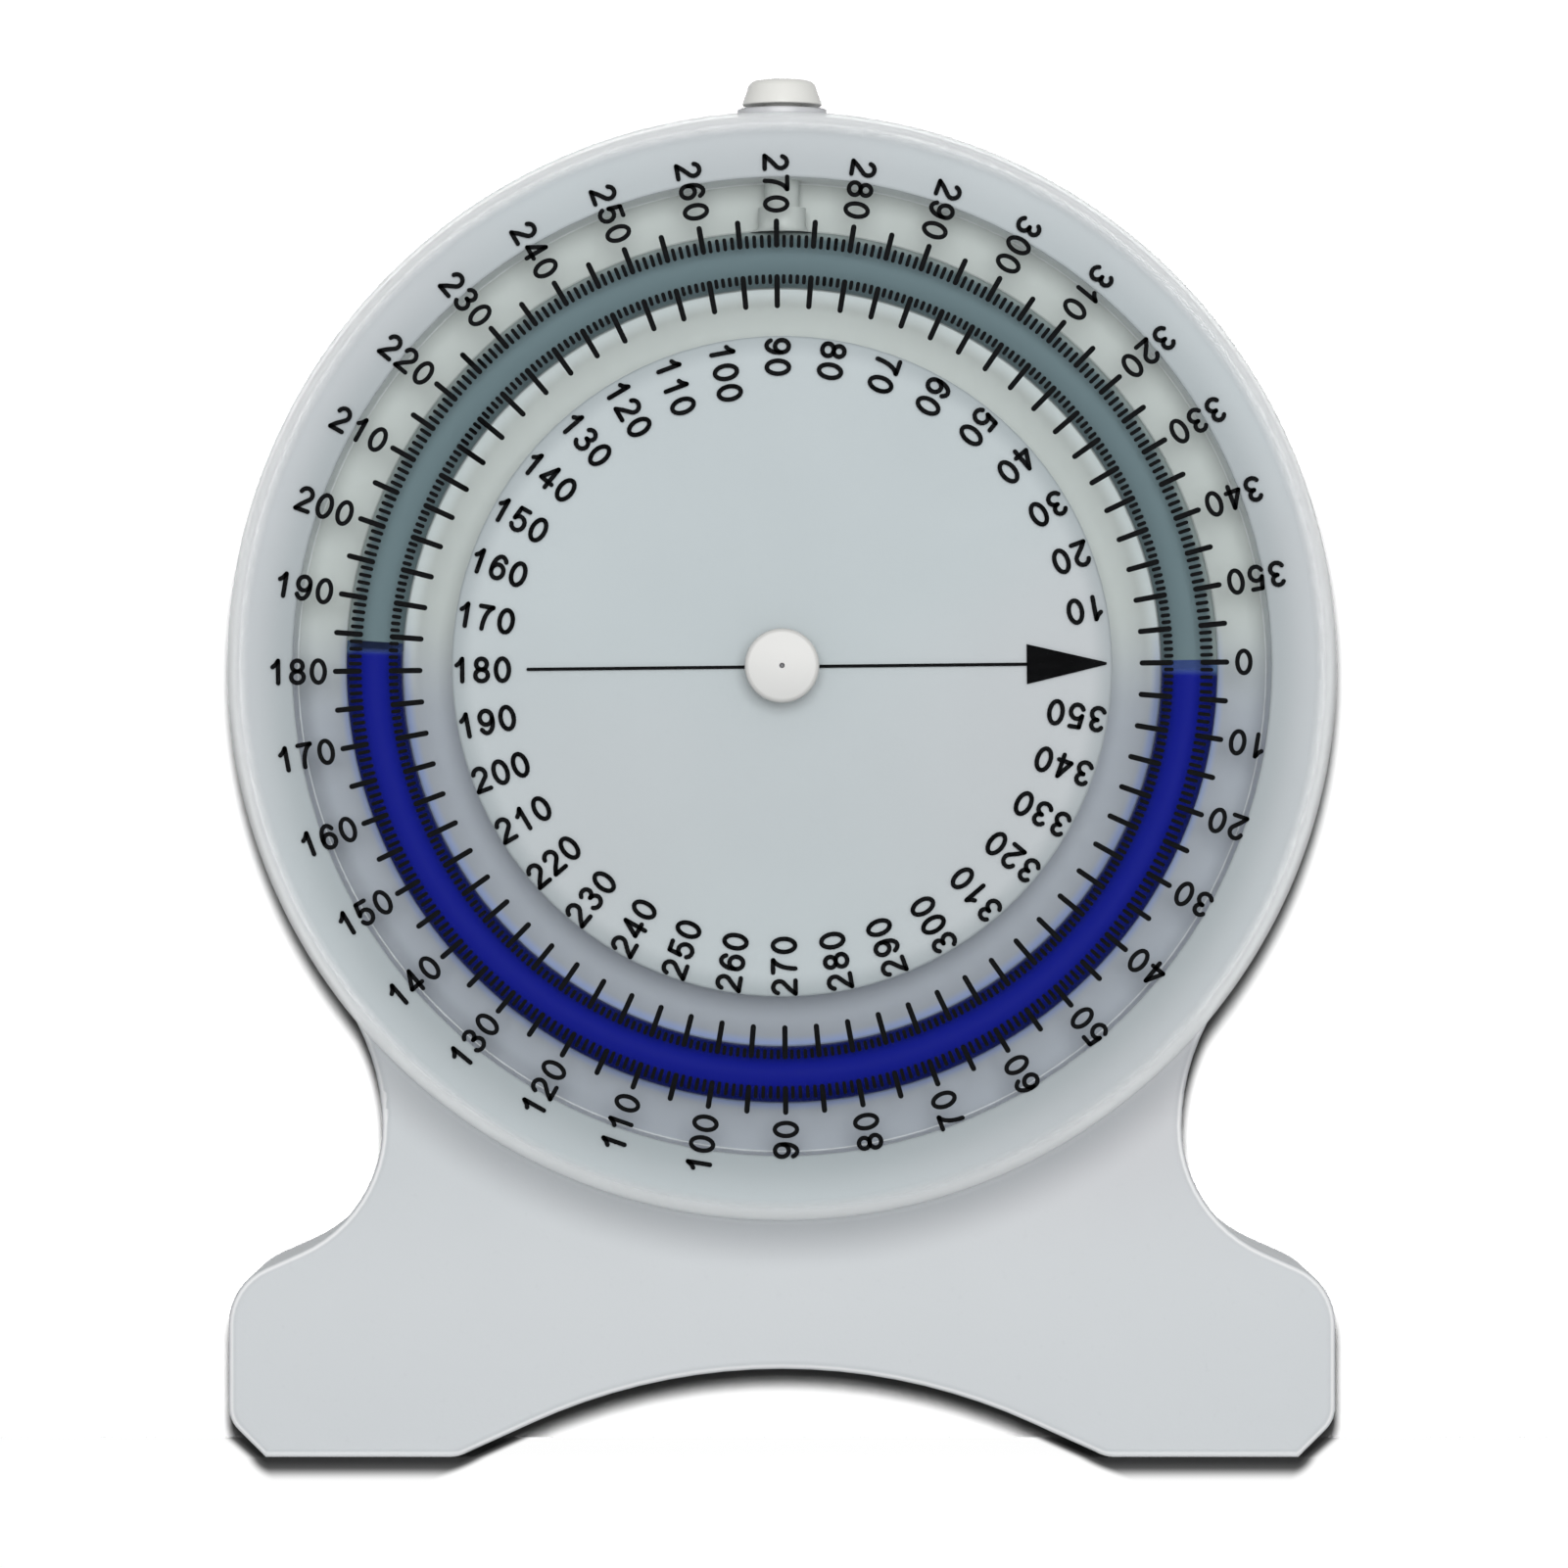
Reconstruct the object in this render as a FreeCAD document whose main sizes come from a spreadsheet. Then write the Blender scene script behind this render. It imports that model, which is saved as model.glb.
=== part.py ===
import FreeCAD, Part
import Sketcher
import math
import os
import re

# A desk inclinometer: a moulded stand carries a ring-shaped tube, half full of coloured liquid, in an
# annular recess, and a clear dial with two scales turns in front of it on a central pivot.
# X runs to the right, Y backwards from the viewer and Z up. The origin is on the resting surface,
# midway between the sides and midway between the pivot head's front and the back of the housing.

# Driving sizes, in millimetres, with slopes and angles in degrees
SIZES = {
    # the ring tube, which the recess, the drum and the dial are built round
    "tube_ring_radius": 37.6,
    "tube_radius": 2.75,
    "tube_wall": 0.85,
    "tube_seat_depth": 0.55,
    "tube_bed_gap": 0.1,
    # the recess, and the rim of the drum round it
    "recess_half_width": 7.3,
    "recess_depth": 6.6,
    "tray_wall": 2.0,
    "drum_rim": 5.7,
    # the rest of the housing's outline, seen from the front: the feet are as wide as the dial
    "drum_base": 22.0,
    "neck_draw": 14.1,
    "neck_height": 30.4,
    "neck_radius": 12.6,
    "shoulder_slope": 24.0,
    "shoulder_radius": 5.8,
    "corner_radius": 3.0,
    "foot_chamfer": 3.4,
    "arch_rise": 8.1,
    "arch_radius": 55.4,
    "arch_slope": 24.5,
    "toe_radius": 3.0,
    # the shell of the housing
    "housing_depth": 20.0,
    "wall_thickness": 2.2,
    "edge_round": 0.8,
    # the cover at the back and its screws
    "cover_thickness": 2.0,
    "cover_lap": 1.1,
    "cover_clearance": 0.15,
    "screw_radius": 1.4,
    "screw_length": 8.0,
    "screw_head_ledge": 1.3,
    "screw_head_height": 1.3,
    "screw_head_land": 0.15,
    "screw_cross_width": 0.7,
    "screw_cross_depth": 0.7,
    "screw_boss_wall": 2.0,
    "screw_hole_clearance": 0.02,
    "screw_tip_clearance": 0.5,
    "screw_sink_clearance": 0.05,
    "upper_screw_angle": 40.0,
    "middle_screw_angle": -20.0,
    "foot_screw_inset": 8.3,
    "foot_screw_height": 8.5,
    # the filler: a port on the tube, a stem through the drum and a plug on its boss
    "port_height": 2.0,
    "port_wall": 0.6,
    "port_socket_depth": 1.8,
    "stem_radius": 1.6,
    "stem_wall": 0.7,
    "stem_clearance": 0.03,
    "filler_boss_setback": 0.2,
    "filler_boss_rise": 0.8,
    "gasket_ledge": 0.3,
    "gasket_thickness": 0.4,
    "plug_ledge": 0.45,
    "plug_taper": 0.65,
    "plug_head_height": 2.3,
    "plug_head_round": 0.7,
    "plug_shank_length": 5.0,
    # the liquid, an arc that swings in the bore
    "liquid_clearance": 0.05,
    "liquid_sweep_angle": 180.8,
    "liquid_tilt_angle": 1.5,
    # the dial
    "disc_overhang": 0.2,
    "disc_thickness": 2.0,
    "disc_round": 1.2,
    "face_gap": 0.3,
    # the pin, and the bush that it turns in
    "pin_radius": 1.5,
    "pin_clearance": 0.05,
    "pin_tail": 0.8,
    "pin_end_clearance": 1.08,
    "head_ledge": 1.9,
    "head_height": 2.2,
    "head_round": 0.4,
    "dimple_radius": 0.25,
    "dimple_depth": 0.3,
    "bush_wall": 1.25,
    "bush_flange_ledge": 1.4,
    "bush_flange_thickness": 1.0,
    "pivot_boss_wall": 2.7,
    "ride_gap": 0.05,
    # the washers and the clip behind the bush
    "thrust_gap": 0.02,
    "washer_fit": 0.1,
    "friction_washer_width": 2.3,
    "friction_washer_thickness": 0.5,
    "spring_washer_width": 1.9,
    "spring_washer_thickness": 0.25,
    "spring_washer_height": 0.6,
    "backing_washer_width": 1.7,
    "backing_washer_thickness": 0.4,
    "clip_width": 1.5,
    "clip_thickness": 0.6,
    "clip_groove_depth": 0.35,
    "clip_grip": 0.25,
    # how far every cutting shape runs past what it cuts
    "overrun": 1.0,
}

# Sizes and places that follow from the driving sizes, worked out by the sheet itself
DERIVED = {
    # across the face
    "recess_outer": "tube_ring_radius + recess_half_width",
    "recess_inner": "tube_ring_radius - recess_half_width",
    "drum_radius": "recess_outer + drum_rim",
    "disc_radius": "drum_radius + disc_overhang",
    "dial_height": "drum_base + drum_radius",
    "neck_half_width": "disc_radius - neck_draw",
    # places along the pivot, as y from the front backwards
    "face_y": "(head_height + disc_thickness + face_gap - housing_depth) / 2",
    "disc_back_y": "face_y - face_gap",
    "disc_front_y": "disc_back_y - disc_thickness",
    "head_front_y": "disc_front_y - head_height",
    "bush_front_y": "disc_back_y + ride_gap",
    "tube_y": "face_y + recess_depth + tube_seat_depth - tube_bed_gap - tube_radius",
    "back_y": "face_y + housing_depth",
    "cover_face_y": "back_y - cover_thickness",
    # the stack behind the bush is set out forwards from the cover
    "pin_end_y": "cover_face_y - pin_end_clearance",
    "clip_back_y": "pin_end_y - pin_tail",
    "clip_front_y": "clip_back_y - clip_thickness",
    "backing_front_y": "clip_front_y - backing_washer_thickness",
    "spring_front_y": "backing_front_y - spring_washer_height",
    "washer_front_y": "spring_front_y - friction_washer_thickness",
    "thrust_y": "washer_front_y - thrust_gap",
    "pivot_boss_back_y": "thrust_y - bush_flange_thickness",
    # radii round the pivot
    "bush_bore_radius": "pin_radius + pin_clearance",
    "bush_radius": "bush_bore_radius + bush_wall",
    "bush_flange_radius": "bush_radius + bush_flange_ledge",
    "pivot_boss_radius": "bush_radius + pivot_boss_wall",
    "head_radius": "pin_radius + head_ledge",
    "washer_bore_radius": "pin_radius + washer_fit",
    "friction_washer_radius": "pin_radius + friction_washer_width",
    "spring_washer_radius": "pin_radius + spring_washer_width",
    "backing_washer_radius": "pin_radius + backing_washer_width",
    "clip_radius": "pin_radius + clip_width",
    "clip_groove_radius": "pin_radius - clip_groove_depth",
    "clip_mouth": "2 * (clip_groove_radius - clip_grip)",
    # the tube and the filler, with heights as z
    "tube_bore_radius": "tube_radius - tube_wall",
    "port_radius": "stem_radius + port_wall",
    "port_top_z": "dial_height + tube_ring_radius + tube_radius + port_height",
    "socket_floor_z": "port_top_z - port_socket_depth",
    "stem_bore_radius": "stem_radius - stem_wall",
    "filler_boss_radius": "tube_y - face_y - filler_boss_setback",
    "filler_boss_top_z": "dial_height + drum_radius + filler_boss_rise",
    "gasket_radius": "stem_radius + gasket_ledge",
    "plug_head_z": "filler_boss_top_z + gasket_thickness",
    "plug_base_radius": "filler_boss_radius - plug_ledge",
    "plug_top_radius": "plug_base_radius - plug_taper",
    # the screws
    "screw_head_radius": "screw_radius + screw_head_ledge",
    "screw_boss_radius": "screw_radius + screw_boss_wall",
}

SIZE_NAME = re.compile(r"[a-z]+(?:_[a-z]+)+|overrun")
# Two places closer than this count as one
TOLERANCE = 1e-6
# Turns about X: Z to the back, Z to the front with Y up, and Y to the front
ALONG_PIVOT = FreeCAD.Rotation(FreeCAD.Vector(1, 0, 0), -90)
FRONT_VIEW = FreeCAD.Rotation(FreeCAD.Vector(1, 0, 0), 90)
FACING_FRONT = FreeCAD.Rotation(FreeCAD.Vector(1, 0, 0), 180)
BACKWARDS = FreeCAD.Vector(0, 1, 0)
SKETCH_NORMAL = FreeCAD.Vector(0, 0, 1)
# The tangent of half the chamfer's angle, which is how far its ends move as it is drawn in
CHAMFER_SHARE = math.sqrt(2) - 1

# Sketcher numbers an edge's start, end and centre from 1 up, and the origin and the upright axis
# from -1 down
START, END, CENTRE = range(1, 4)
ORIGIN, UPRIGHT_AXIS = range(-1, -3, -1)


def make_sheet(doc):
    """The spreadsheet: a row for each driving size, then a row for each size that follows from them."""
    sheet = doc.addObject("Spreadsheet::Sheet", "Sizes")
    cells = [(alias, str(value)) for alias, value in SIZES.items()]
    cells += [(alias, "=" + text) for alias, text in DERIVED.items()]
    for row, (alias, content) in enumerate(cells, start=1):
        sheet.set(f"A{row}", alias)
        sheet.set(f"B{row}", content)
        sheet.setAlias(f"B{row}", alias)
    doc.recompute()


def size(doc, name):
    """A size as a number, read from the sheet."""
    return float(doc.Sizes.get(name))


def bind(thing, path, text):
    """Ties a property to the sheet: each name of a size in the text is read from there."""
    thing.setExpression(path, SIZE_NAME.sub(lambda found: "Sizes." + found.group(), text))


def place(thing, x="0", y="0", z="0"):
    """Puts a piece at a place given by three expressions on the sheet."""
    for axis, text in zip("xyz", (x, y, z)):
        bind(thing, f"Placement.Base.{axis}", text)
    return thing


# Solids along the pivot's axis

def rod(doc, name, radius, start, length, x="0", z="dial_height"):
    """A cylinder that runs backwards from a start in y."""
    solid = doc.addObject("Part::Cylinder", name)
    bind(solid, "Radius", radius)
    bind(solid, "Height", length)
    solid.Placement.Rotation = ALONG_PIVOT
    return place(solid, x, start, z)


def ring(doc, name, outer, inner, start, length):
    """A cylinder along the pivot with a cylinder taken out of it from end to end."""
    body = rod(doc, name + "Body", outer, start, length)
    core = rod(doc, name + "Core", inner, f"{start} - overrun", f"{length} + 2 * overrun")
    return cut(doc, name, body, core)


def post(doc, name, radius, bottom, top):
    """An upright cylinder in the plane of the tube, on the filler's axis."""
    solid = doc.addObject("Part::Cylinder", name)
    bind(solid, "Radius", radius)
    bind(solid, "Height", f"{top} - ({bottom})")
    return place(solid, "0", "tube_y", bottom)


def torus(doc, name, section):
    """A full ring of a round section along the tube's centre line."""
    solid = doc.addObject("Part::Torus", name)
    bind(solid, "Radius1", "tube_ring_radius")
    bind(solid, "Radius2", section)
    solid.Placement.Rotation = ALONG_PIVOT
    return place(solid, "0", "tube_y", "dial_height")


def joined(doc, name, *shapes):
    """Several shapes as one solid."""
    solid = doc.addObject("Part::MultiFuse", name)
    solid.Shapes = list(shapes)
    return solid


def cut(doc, name, base, *tools):
    """A shape less one or more others."""
    solid = doc.addObject("Part::Cut", name)
    solid.Base = base
    solid.Tool = tools[0] if len(tools) == 1 else joined(doc, name + "Tools", *tools)
    return solid


def turned(doc, name, points, rotation, x="0", y="0", z="dial_height"):
    """A body turned about its axis from a closed profile of (radius, distance along) expressions.

    The profile starts as a rough ring of points, and a pair of dimensions then pulls each into place.
    """
    body = doc.addObject("PartDesign::Body", name)
    profile = body.newObject("Sketcher::SketchObject", name + "Profile")
    plane = next(item for item in body.Origin.OriginFeatures if item.Role == "XY_Plane")
    profile.AttachmentSupport = [(plane, "")]
    profile.MapMode = "FlatFace"
    count = len(points)
    rough = [FreeCAD.Vector(math.cos(k * math.tau / count), math.sin(k * math.tau / count), 0)
             for k in range(count)]
    for k in range(count):
        profile.addGeometry(Part.LineSegment(rough[k], rough[(k + 1) % count]), False)
    for k in range(count):
        profile.addConstraint(Sketcher.Constraint("Coincident", k, END, (k + 1) % count, START))
    for k, (radius, along) in enumerate(points):
        measure(profile, "DistanceX", (ORIGIN, START, k, START), rough[k].x, radius)
        measure(profile, "DistanceY", (ORIGIN, START, k, START), rough[k].y, along)
    revolution = body.newObject("PartDesign::Revolution", name + "Turning")
    revolution.Profile = profile
    revolution.ReferenceAxis = (profile, ["V_Axis"])
    revolution.Angle = 360
    body.Placement.Rotation = rotation
    return place(body, x, y, z)


def rounded(doc, body, name, radius, on_edge):
    """Rounds the edges of a body's last feature for which on_edge(edge) holds."""
    doc.recompute()
    base = body.Tip
    edges = [f"Edge{number}" for number, edge in enumerate(base.Shape.Edges, start=1) if on_edge(edge)]
    fillet = body.newObject("PartDesign::Fillet", name)
    fillet.Base = (base, edges)
    bind(fillet, "Radius", radius)
    body.Tip = fillet
    return body


def on_circle(radius, along):
    """Tells whether an edge is a full circle of that radius at that distance along a body's axis."""
    def test(edge):
        curve = edge.Curve
        return (isinstance(curve, Part.Circle)
                and math.isclose(curve.Radius, radius, abs_tol=TOLERANCE)
                and math.isclose(curve.Center.y, along, abs_tol=TOLERANCE))
    return test


# The outline of the housing

def measure(sketch, kind, geometry, value, text):
    """Adds a dimension to a sketch and ties it to the sheet."""
    index = sketch.addConstraint(Sketcher.Constraint(kind, *geometry, value))
    bind(sketch, f"Constraints[{index}]", text)


def outline_centres(doc):
    """The centres of the outline's arcs on the right, and the radius at the drum, by tangency.

    The heel is the sharp corner where the foot's chamfer, at 45 degrees, meets the sole.
    """
    half = size(doc, "disc_radius")
    waist = size(doc, "neck_half_width")
    drum = size(doc, "drum_radius")
    neck_height = size(doc, "neck_height")
    neck_radius = size(doc, "neck_radius")
    shoulder_radius = size(doc, "shoulder_radius")
    corner_radius = size(doc, "corner_radius")
    foot_chamfer = size(doc, "foot_chamfer")
    arch_radius = size(doc, "arch_radius")
    toe_radius = size(doc, "toe_radius")
    slope = math.radians(size(doc, "shoulder_slope"))
    pitch = math.radians(size(doc, "arch_slope"))
    # the arch's straight run comes down to the sole, and the toe rounds the corner between them
    springing_x = arch_radius * math.sin(pitch)
    springing_z = size(doc, "arch_rise") - arch_radius * (1 - math.cos(pitch))
    toe_x = springing_x + springing_z / math.tan(pitch) + toe_radius * math.tan(pitch / 2)
    # the shoulder's arc touches the slope that leaves the neck's arc
    slope_top = neck_height - neck_radius * math.cos(slope)
    slope_run = (half - shoulder_radius + shoulder_radius * math.sin(slope)
                 - (waist + neck_radius - neck_radius * math.sin(slope)))
    shoulder_z = slope_top - slope_run * math.tan(slope) - shoulder_radius * math.cos(slope)
    # the upper neck's arc touches the drum
    rise = size(doc, "dial_height") - neck_height
    upper_radius = (waist ** 2 + rise ** 2 - drum ** 2) / (2 * (drum - waist))
    return {
        "toe": (toe_x, toe_radius),
        "heel": (half - foot_chamfer, 0),
        "corner": (half - corner_radius, foot_chamfer + corner_radius * CHAMFER_SHARE),
        "shoulder": (half - shoulder_radius, shoulder_z),
        "neck": (waist + neck_radius, neck_height),
        "upper_neck": (waist + upper_radius, neck_height),
    }, upper_radius


def outline_arcs(doc, inset):
    """The arcs of the outline in order, anticlockwise from the arch, each drawn in by an inset.

    An arc is its name, its centre, its radius and its first and last angle. Drawing the outline in
    keeps every centre, widens the arcs that are hollow and tightens the others. A heel is an arc of
    no radius, and moves up and inwards.
    """
    centres, upper_radius = outline_centres(doc)
    pitch = size(doc, "arch_slope")
    slope = size(doc, "shoulder_slope")
    arch_rise = size(doc, "arch_rise")
    arch_radius = size(doc, "arch_radius")
    dial_height = size(doc, "dial_height")
    across, neck_height = centres["upper_neck"]
    heel = (centres["heel"][0] - inset * CHAMFER_SHARE, inset)
    meeting = math.degrees(math.atan2(dial_height - neck_height, across))
    right = [
        ("toe", centres["toe"], size(doc, "toe_radius") - inset, 270 - pitch, 270),
        ("heel", heel, 0, 270, 315),
        ("corner", centres["corner"], size(doc, "corner_radius") - inset, 315, 360),
        ("shoulder", centres["shoulder"], size(doc, "shoulder_radius") - inset, 0, 90 - slope),
        ("neck", centres["neck"], size(doc, "neck_radius") + inset, 270 - slope, 180),
        ("upper_neck", centres["upper_neck"], upper_radius + inset, 180, 180 - meeting),
    ]
    arcs = [("arch", (0, arch_rise - arch_radius), arch_radius + inset, 90 + pitch, 90 - pitch)]
    arcs += [("right " + arc[0], *arc[1:]) for arc in right]
    arcs.append(("drum", (0, dial_height), size(doc, "drum_radius") - inset, -meeting, 180 + meeting))
    arcs += [("left " + name, (-centre[0], centre[1]), radius, 180 - last, 180 - first)
             for name, centre, radius, first, last in reversed(right)]
    return arcs


def point_on(arc, angle):
    """The point of an arc at an angle."""
    centre, radius = arc[1:3]
    return FreeCAD.Vector(centre[0] + radius * math.cos(math.radians(angle)),
                          centre[1] + radius * math.sin(math.radians(angle)))


def outline_sketch(doc, name, *insets):
    """The housing's outline from the front, drawn in by the sizes that are named.

    A straight run joins an arc to the next wherever it ends short of it, and all the edges are
    tangent but for the two runs that meet at each heel.
    """
    less = "".join(" - " + inset for inset in insets)
    more = "".join(" + " + inset for inset in insets)
    arcs = outline_arcs(doc, sum(size(doc, inset) for inset in insets))
    sketch = doc.addObject("Sketcher::SketchObject", name)
    sketch.Placement.Rotation = FRONT_VIEW
    number = {}
    chain = []
    for arc, following in zip(arcs, arcs[1:] + arcs[:1]):
        label, centre, radius, first, last = arc
        if not label.endswith("heel"):
            circle = Part.Circle(FreeCAD.Vector(*centre), SKETCH_NORMAL, radius)
            low, high = sorted((math.radians(first), math.radians(last)))
            number[label] = sketch.addGeometry(Part.ArcOfCircle(circle, low, high), False)
            chain.append((number[label], START, END) if first < last else (number[label], END, START))
        run = (point_on(arc, last), point_on(following, following[3]))
        if not run[0].isEqual(run[1], TOLERANCE):
            number[label + " run"] = sketch.addGeometry(Part.LineSegment(*run), False)
            chain.append((number[label + " run"], START, END))
    after_heel = (number["right heel run"], number["left heel run"])
    for piece, following in zip(chain, chain[1:] + chain[:1]):
        joint = "Coincident" if following[0] in after_heel else "Tangent"
        sketch.addConstraint(Sketcher.Constraint(joint, piece[0], piece[2], following[0], following[1]))

    arc_at = {arc[0]: arc for arc in arcs}

    def arc_size(label, text):
        measure(sketch, "Radius", (number[label],), arc_at[label][2], text)

    def centre_height(label, text):
        measure(sketch, "DistanceY", (ORIGIN, START, number[label], CENTRE), arc_at[label][1][1], text)

    def centre_across(label, text):
        measure(sketch, "DistanceX", (ORIGIN, START, number[label], CENTRE), arc_at[label][1][0], text)

    def run_slope(label, degrees, text):
        measure(sketch, "Angle", (number[label + " run"],), math.radians(degrees), text)

    arc_size("arch", "arch_radius" + more)
    arc_size("drum", "drum_radius" + less)
    centre_height("arch", "arch_rise - arch_radius")
    centre_height("drum", "dial_height")
    for label in ("arch", "drum"):
        sketch.addConstraint(Sketcher.Constraint("PointOnObject", number[label], CENTRE, UPRIGHT_AXIS))
    heel_across = f"disc_radius - foot_chamfer - (0{more}) * (sqrt(2) - 1)"
    for side, sign, sole in (("right ", "", "right toe run"), ("left ", "-", "left heel run")):
        heel = arc_at[side + "heel"][1][0]
        sketch.addConstraint(Sketcher.Constraint("Horizontal", number[sole]))
        measure(sketch, "DistanceX", (ORIGIN, START, number[side + "heel run"], START), heel,
                f"{sign}({heel_across})")
        arc_size(side + "toe", "toe_radius" + less)
        arc_size(side + "corner", "corner_radius" + less)
        arc_size(side + "shoulder", "shoulder_radius" + less)
        arc_size(side + "neck", "neck_radius" + more)
        centre_height(side + "toe", "toe_radius")
        centre_height(side + "corner", "foot_chamfer + corner_radius * (sqrt(2) - 1)")
        centre_height(side + "neck", "neck_height")
        centre_height(side + "upper_neck", "neck_height")
        centre_across(side + "corner", f"{sign}(disc_radius - corner_radius)")
        centre_across(side + "shoulder", f"{sign}(disc_radius - shoulder_radius)")
        centre_across(side + "neck", f"{sign}(neck_half_width + neck_radius)")
    pitch = size(doc, "arch_slope")
    slope = size(doc, "shoulder_slope")
    run_slope("arch", -pitch, "-arch_slope")
    run_slope("left toe", pitch, "arch_slope")
    run_slope("right shoulder", 180 - slope, "180 - shoulder_slope")
    run_slope("left neck", slope - 180, "shoulder_slope - 180")
    return sketch


def slab(doc, name, outline, start, length):
    """A plate with an outline's shape that runs backwards from a start in y."""
    plate = doc.addObject("Part::Extrusion", name)
    plate.Base = outline
    plate.DirMode = "Custom"
    plate.Dir = BACKWARDS
    plate.Solid = True
    bind(plate, "LengthFwd", length)
    return place(plate, y=start)


# The housing and its cover

def screw_places():
    """The screws' places in x and z, as expressions: four behind the recess and one in each foot."""
    places = []
    for side in ("", "-"):
        for angle in ("upper_screw_angle", "middle_screw_angle"):
            places.append((f"{side}tube_ring_radius * cos({angle})",
                           f"dial_height + tube_ring_radius * sin({angle})"))
        places.append((f"{side}(disc_radius - foot_screw_inset)", "foot_screw_height"))
    return places


def front_housing(doc):
    """The moulded shell with the stand, the drum, the recess, the bosses and the filler's boss."""
    block = slab(doc, "HousingBlock", outline_sketch(doc, "Outline"), "face_y", "housing_depth")
    doc.recompute()
    rim = doc.addObject("Part::Fillet", "HousingRounded")
    rim.Base = block
    face_y = size(doc, "face_y")
    edge_round = size(doc, "edge_round")
    rim.Edges = [(number, edge_round, edge_round)
                 for number, edge in enumerate(block.Shape.Edges, start=1)
                 if all(math.isclose(vertex.Y, face_y, abs_tol=TOLERANCE) for vertex in edge.Vertexes)]

    # the hollow behind the face, less what stands in it
    hollow = slab(doc, "HousingHollow", outline_sketch(doc, "HollowOutline", "wall_thickness"),
                  "face_y + wall_thickness", "housing_depth")
    tray = ring(doc, "RecessTray", "recess_outer + tray_wall", "recess_inner - tray_wall",
                "face_y", "recess_depth + tray_wall")
    pivot_boss = rod(doc, "PivotBoss", "pivot_boss_radius", "face_y", "pivot_boss_back_y - face_y")
    screw_bosses = [rod(doc, f"ScrewBoss{number}", "screw_boss_radius", "face_y",
                        "cover_face_y - face_y", x, z)
                    for number, (x, z) in enumerate(screw_places(), start=1)]
    filler_boss = post(doc, "FillerBoss", "filler_boss_radius",
                       "dial_height + recess_outer + tray_wall / 2", "filler_boss_top_z")
    cavity = cut(doc, "HousingCavity", hollow, tray, pivot_boss, filler_boss, *screw_bosses)

    # what is cut from the face, from the back and through the bosses
    rebate = slab(doc, "CoverRebate", outline_sketch(doc, "RebateOutline", "cover_lap"), "cover_face_y",
                  "cover_thickness + overrun")
    recess = ring(doc, "Recess", "recess_outer", "recess_inner", "face_y - overrun",
                  "recess_depth + overrun")
    bed = torus(doc, "TubeBed", "tube_radius + tube_bed_gap")
    bush_hole = rod(doc, "BushHole", "bush_radius", "face_y - overrun",
                    "pivot_boss_back_y - face_y + 2 * overrun")
    stem_hole = post(doc, "StemHole", "stem_radius + stem_clearance", "dial_height + recess_inner",
                     "filler_boss_top_z + overrun")
    screw_holes = [rod(doc, f"ScrewHole{number}", "screw_radius + screw_hole_clearance",
                       "back_y - screw_length - screw_tip_clearance", "screw_length + overrun", x, z)
                   for number, (x, z) in enumerate(screw_places(), start=1)]
    shell = joined(doc, "HousingShell", rim, filler_boss)
    return cut(doc, "front_housing", shell, cavity, rebate, recess, bed, bush_hole, stem_hole, *screw_holes)


def screw_shape(doc, name, x, z, gap="0", past="0"):
    """A countersunk screw's form, its head flush with the back and its shank running forwards.

    The hole for a screw is the same form with a gap all round, run past both of its ends.
    """
    points = [
        ("0", f"-{past}"),
        (f"screw_head_radius + {gap}", f"-{past}"),
        (f"screw_head_radius + {gap}", "screw_head_land"),
        (f"screw_radius + {gap}", "screw_head_height"),
        (f"screw_radius + {gap}", f"screw_length + {past}"),
        ("0", f"screw_length + {past}"),
    ]
    return turned(doc, name, points, FACING_FRONT, x, "back_y", z)


def cover_screws(doc):
    """Six self-tapping screws with a cross in each head."""
    screws = doc.addObject("Part::Compound", "cover_screws")
    made = []
    for number, (x, z) in enumerate(screw_places(), start=1):
        shape = screw_shape(doc, f"Screw{number}", x, z)
        slots = []
        for name, wide, high in (("Flat", "screw_head_radius", "screw_cross_width"),
                                 ("Upright", "screw_cross_width", "screw_head_radius")):
            slot = doc.addObject("Part::Box", f"Screw{number}{name}Slot")
            bind(slot, "Length", wide)
            bind(slot, "Width", "screw_cross_depth + overrun")
            bind(slot, "Height", high)
            place(slot, f"{x} - {wide} / 2", "back_y - screw_cross_depth", f"{z} - {high} / 2")
            slots.append(slot)
        made.append(cut(doc, f"ScrewWithCross{number}", shape, *slots))
    screws.Links = made
    return screws


def rear_cover(doc):
    """The plate let into the back of the housing, countersunk for the screws."""
    outline = outline_sketch(doc, "CoverOutline", "cover_lap", "cover_clearance")
    plate = slab(doc, "CoverPlate", outline, "cover_face_y", "cover_thickness")
    sinks = [screw_shape(doc, f"ScrewSink{number}", x, z, "screw_sink_clearance", "overrun")
             for number, (x, z) in enumerate(screw_places(), start=1)]
    return cut(doc, "rear_cover", plate, *sinks)


# The ring tube, its filler and the liquid

def fluid_tube(doc):
    """The clear ring with its bore, and a port at the top that the filler stem is bonded into."""
    port = post(doc, "TubePort", "port_radius", "dial_height + tube_ring_radius", "port_top_z")
    wall = joined(doc, "TubeWall", torus(doc, "TubeOutside", "tube_radius"), port)
    bore = torus(doc, "TubeBore", "tube_bore_radius")
    socket = post(doc, "PortSocket", "stem_radius", "socket_floor_z", "port_top_z + overrun")
    way = post(doc, "PortWay", "stem_bore_radius", "dial_height + tube_ring_radius",
               "port_top_z + overrun")
    return cut(doc, "fluid_tube", wall, bore, socket, way)


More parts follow.
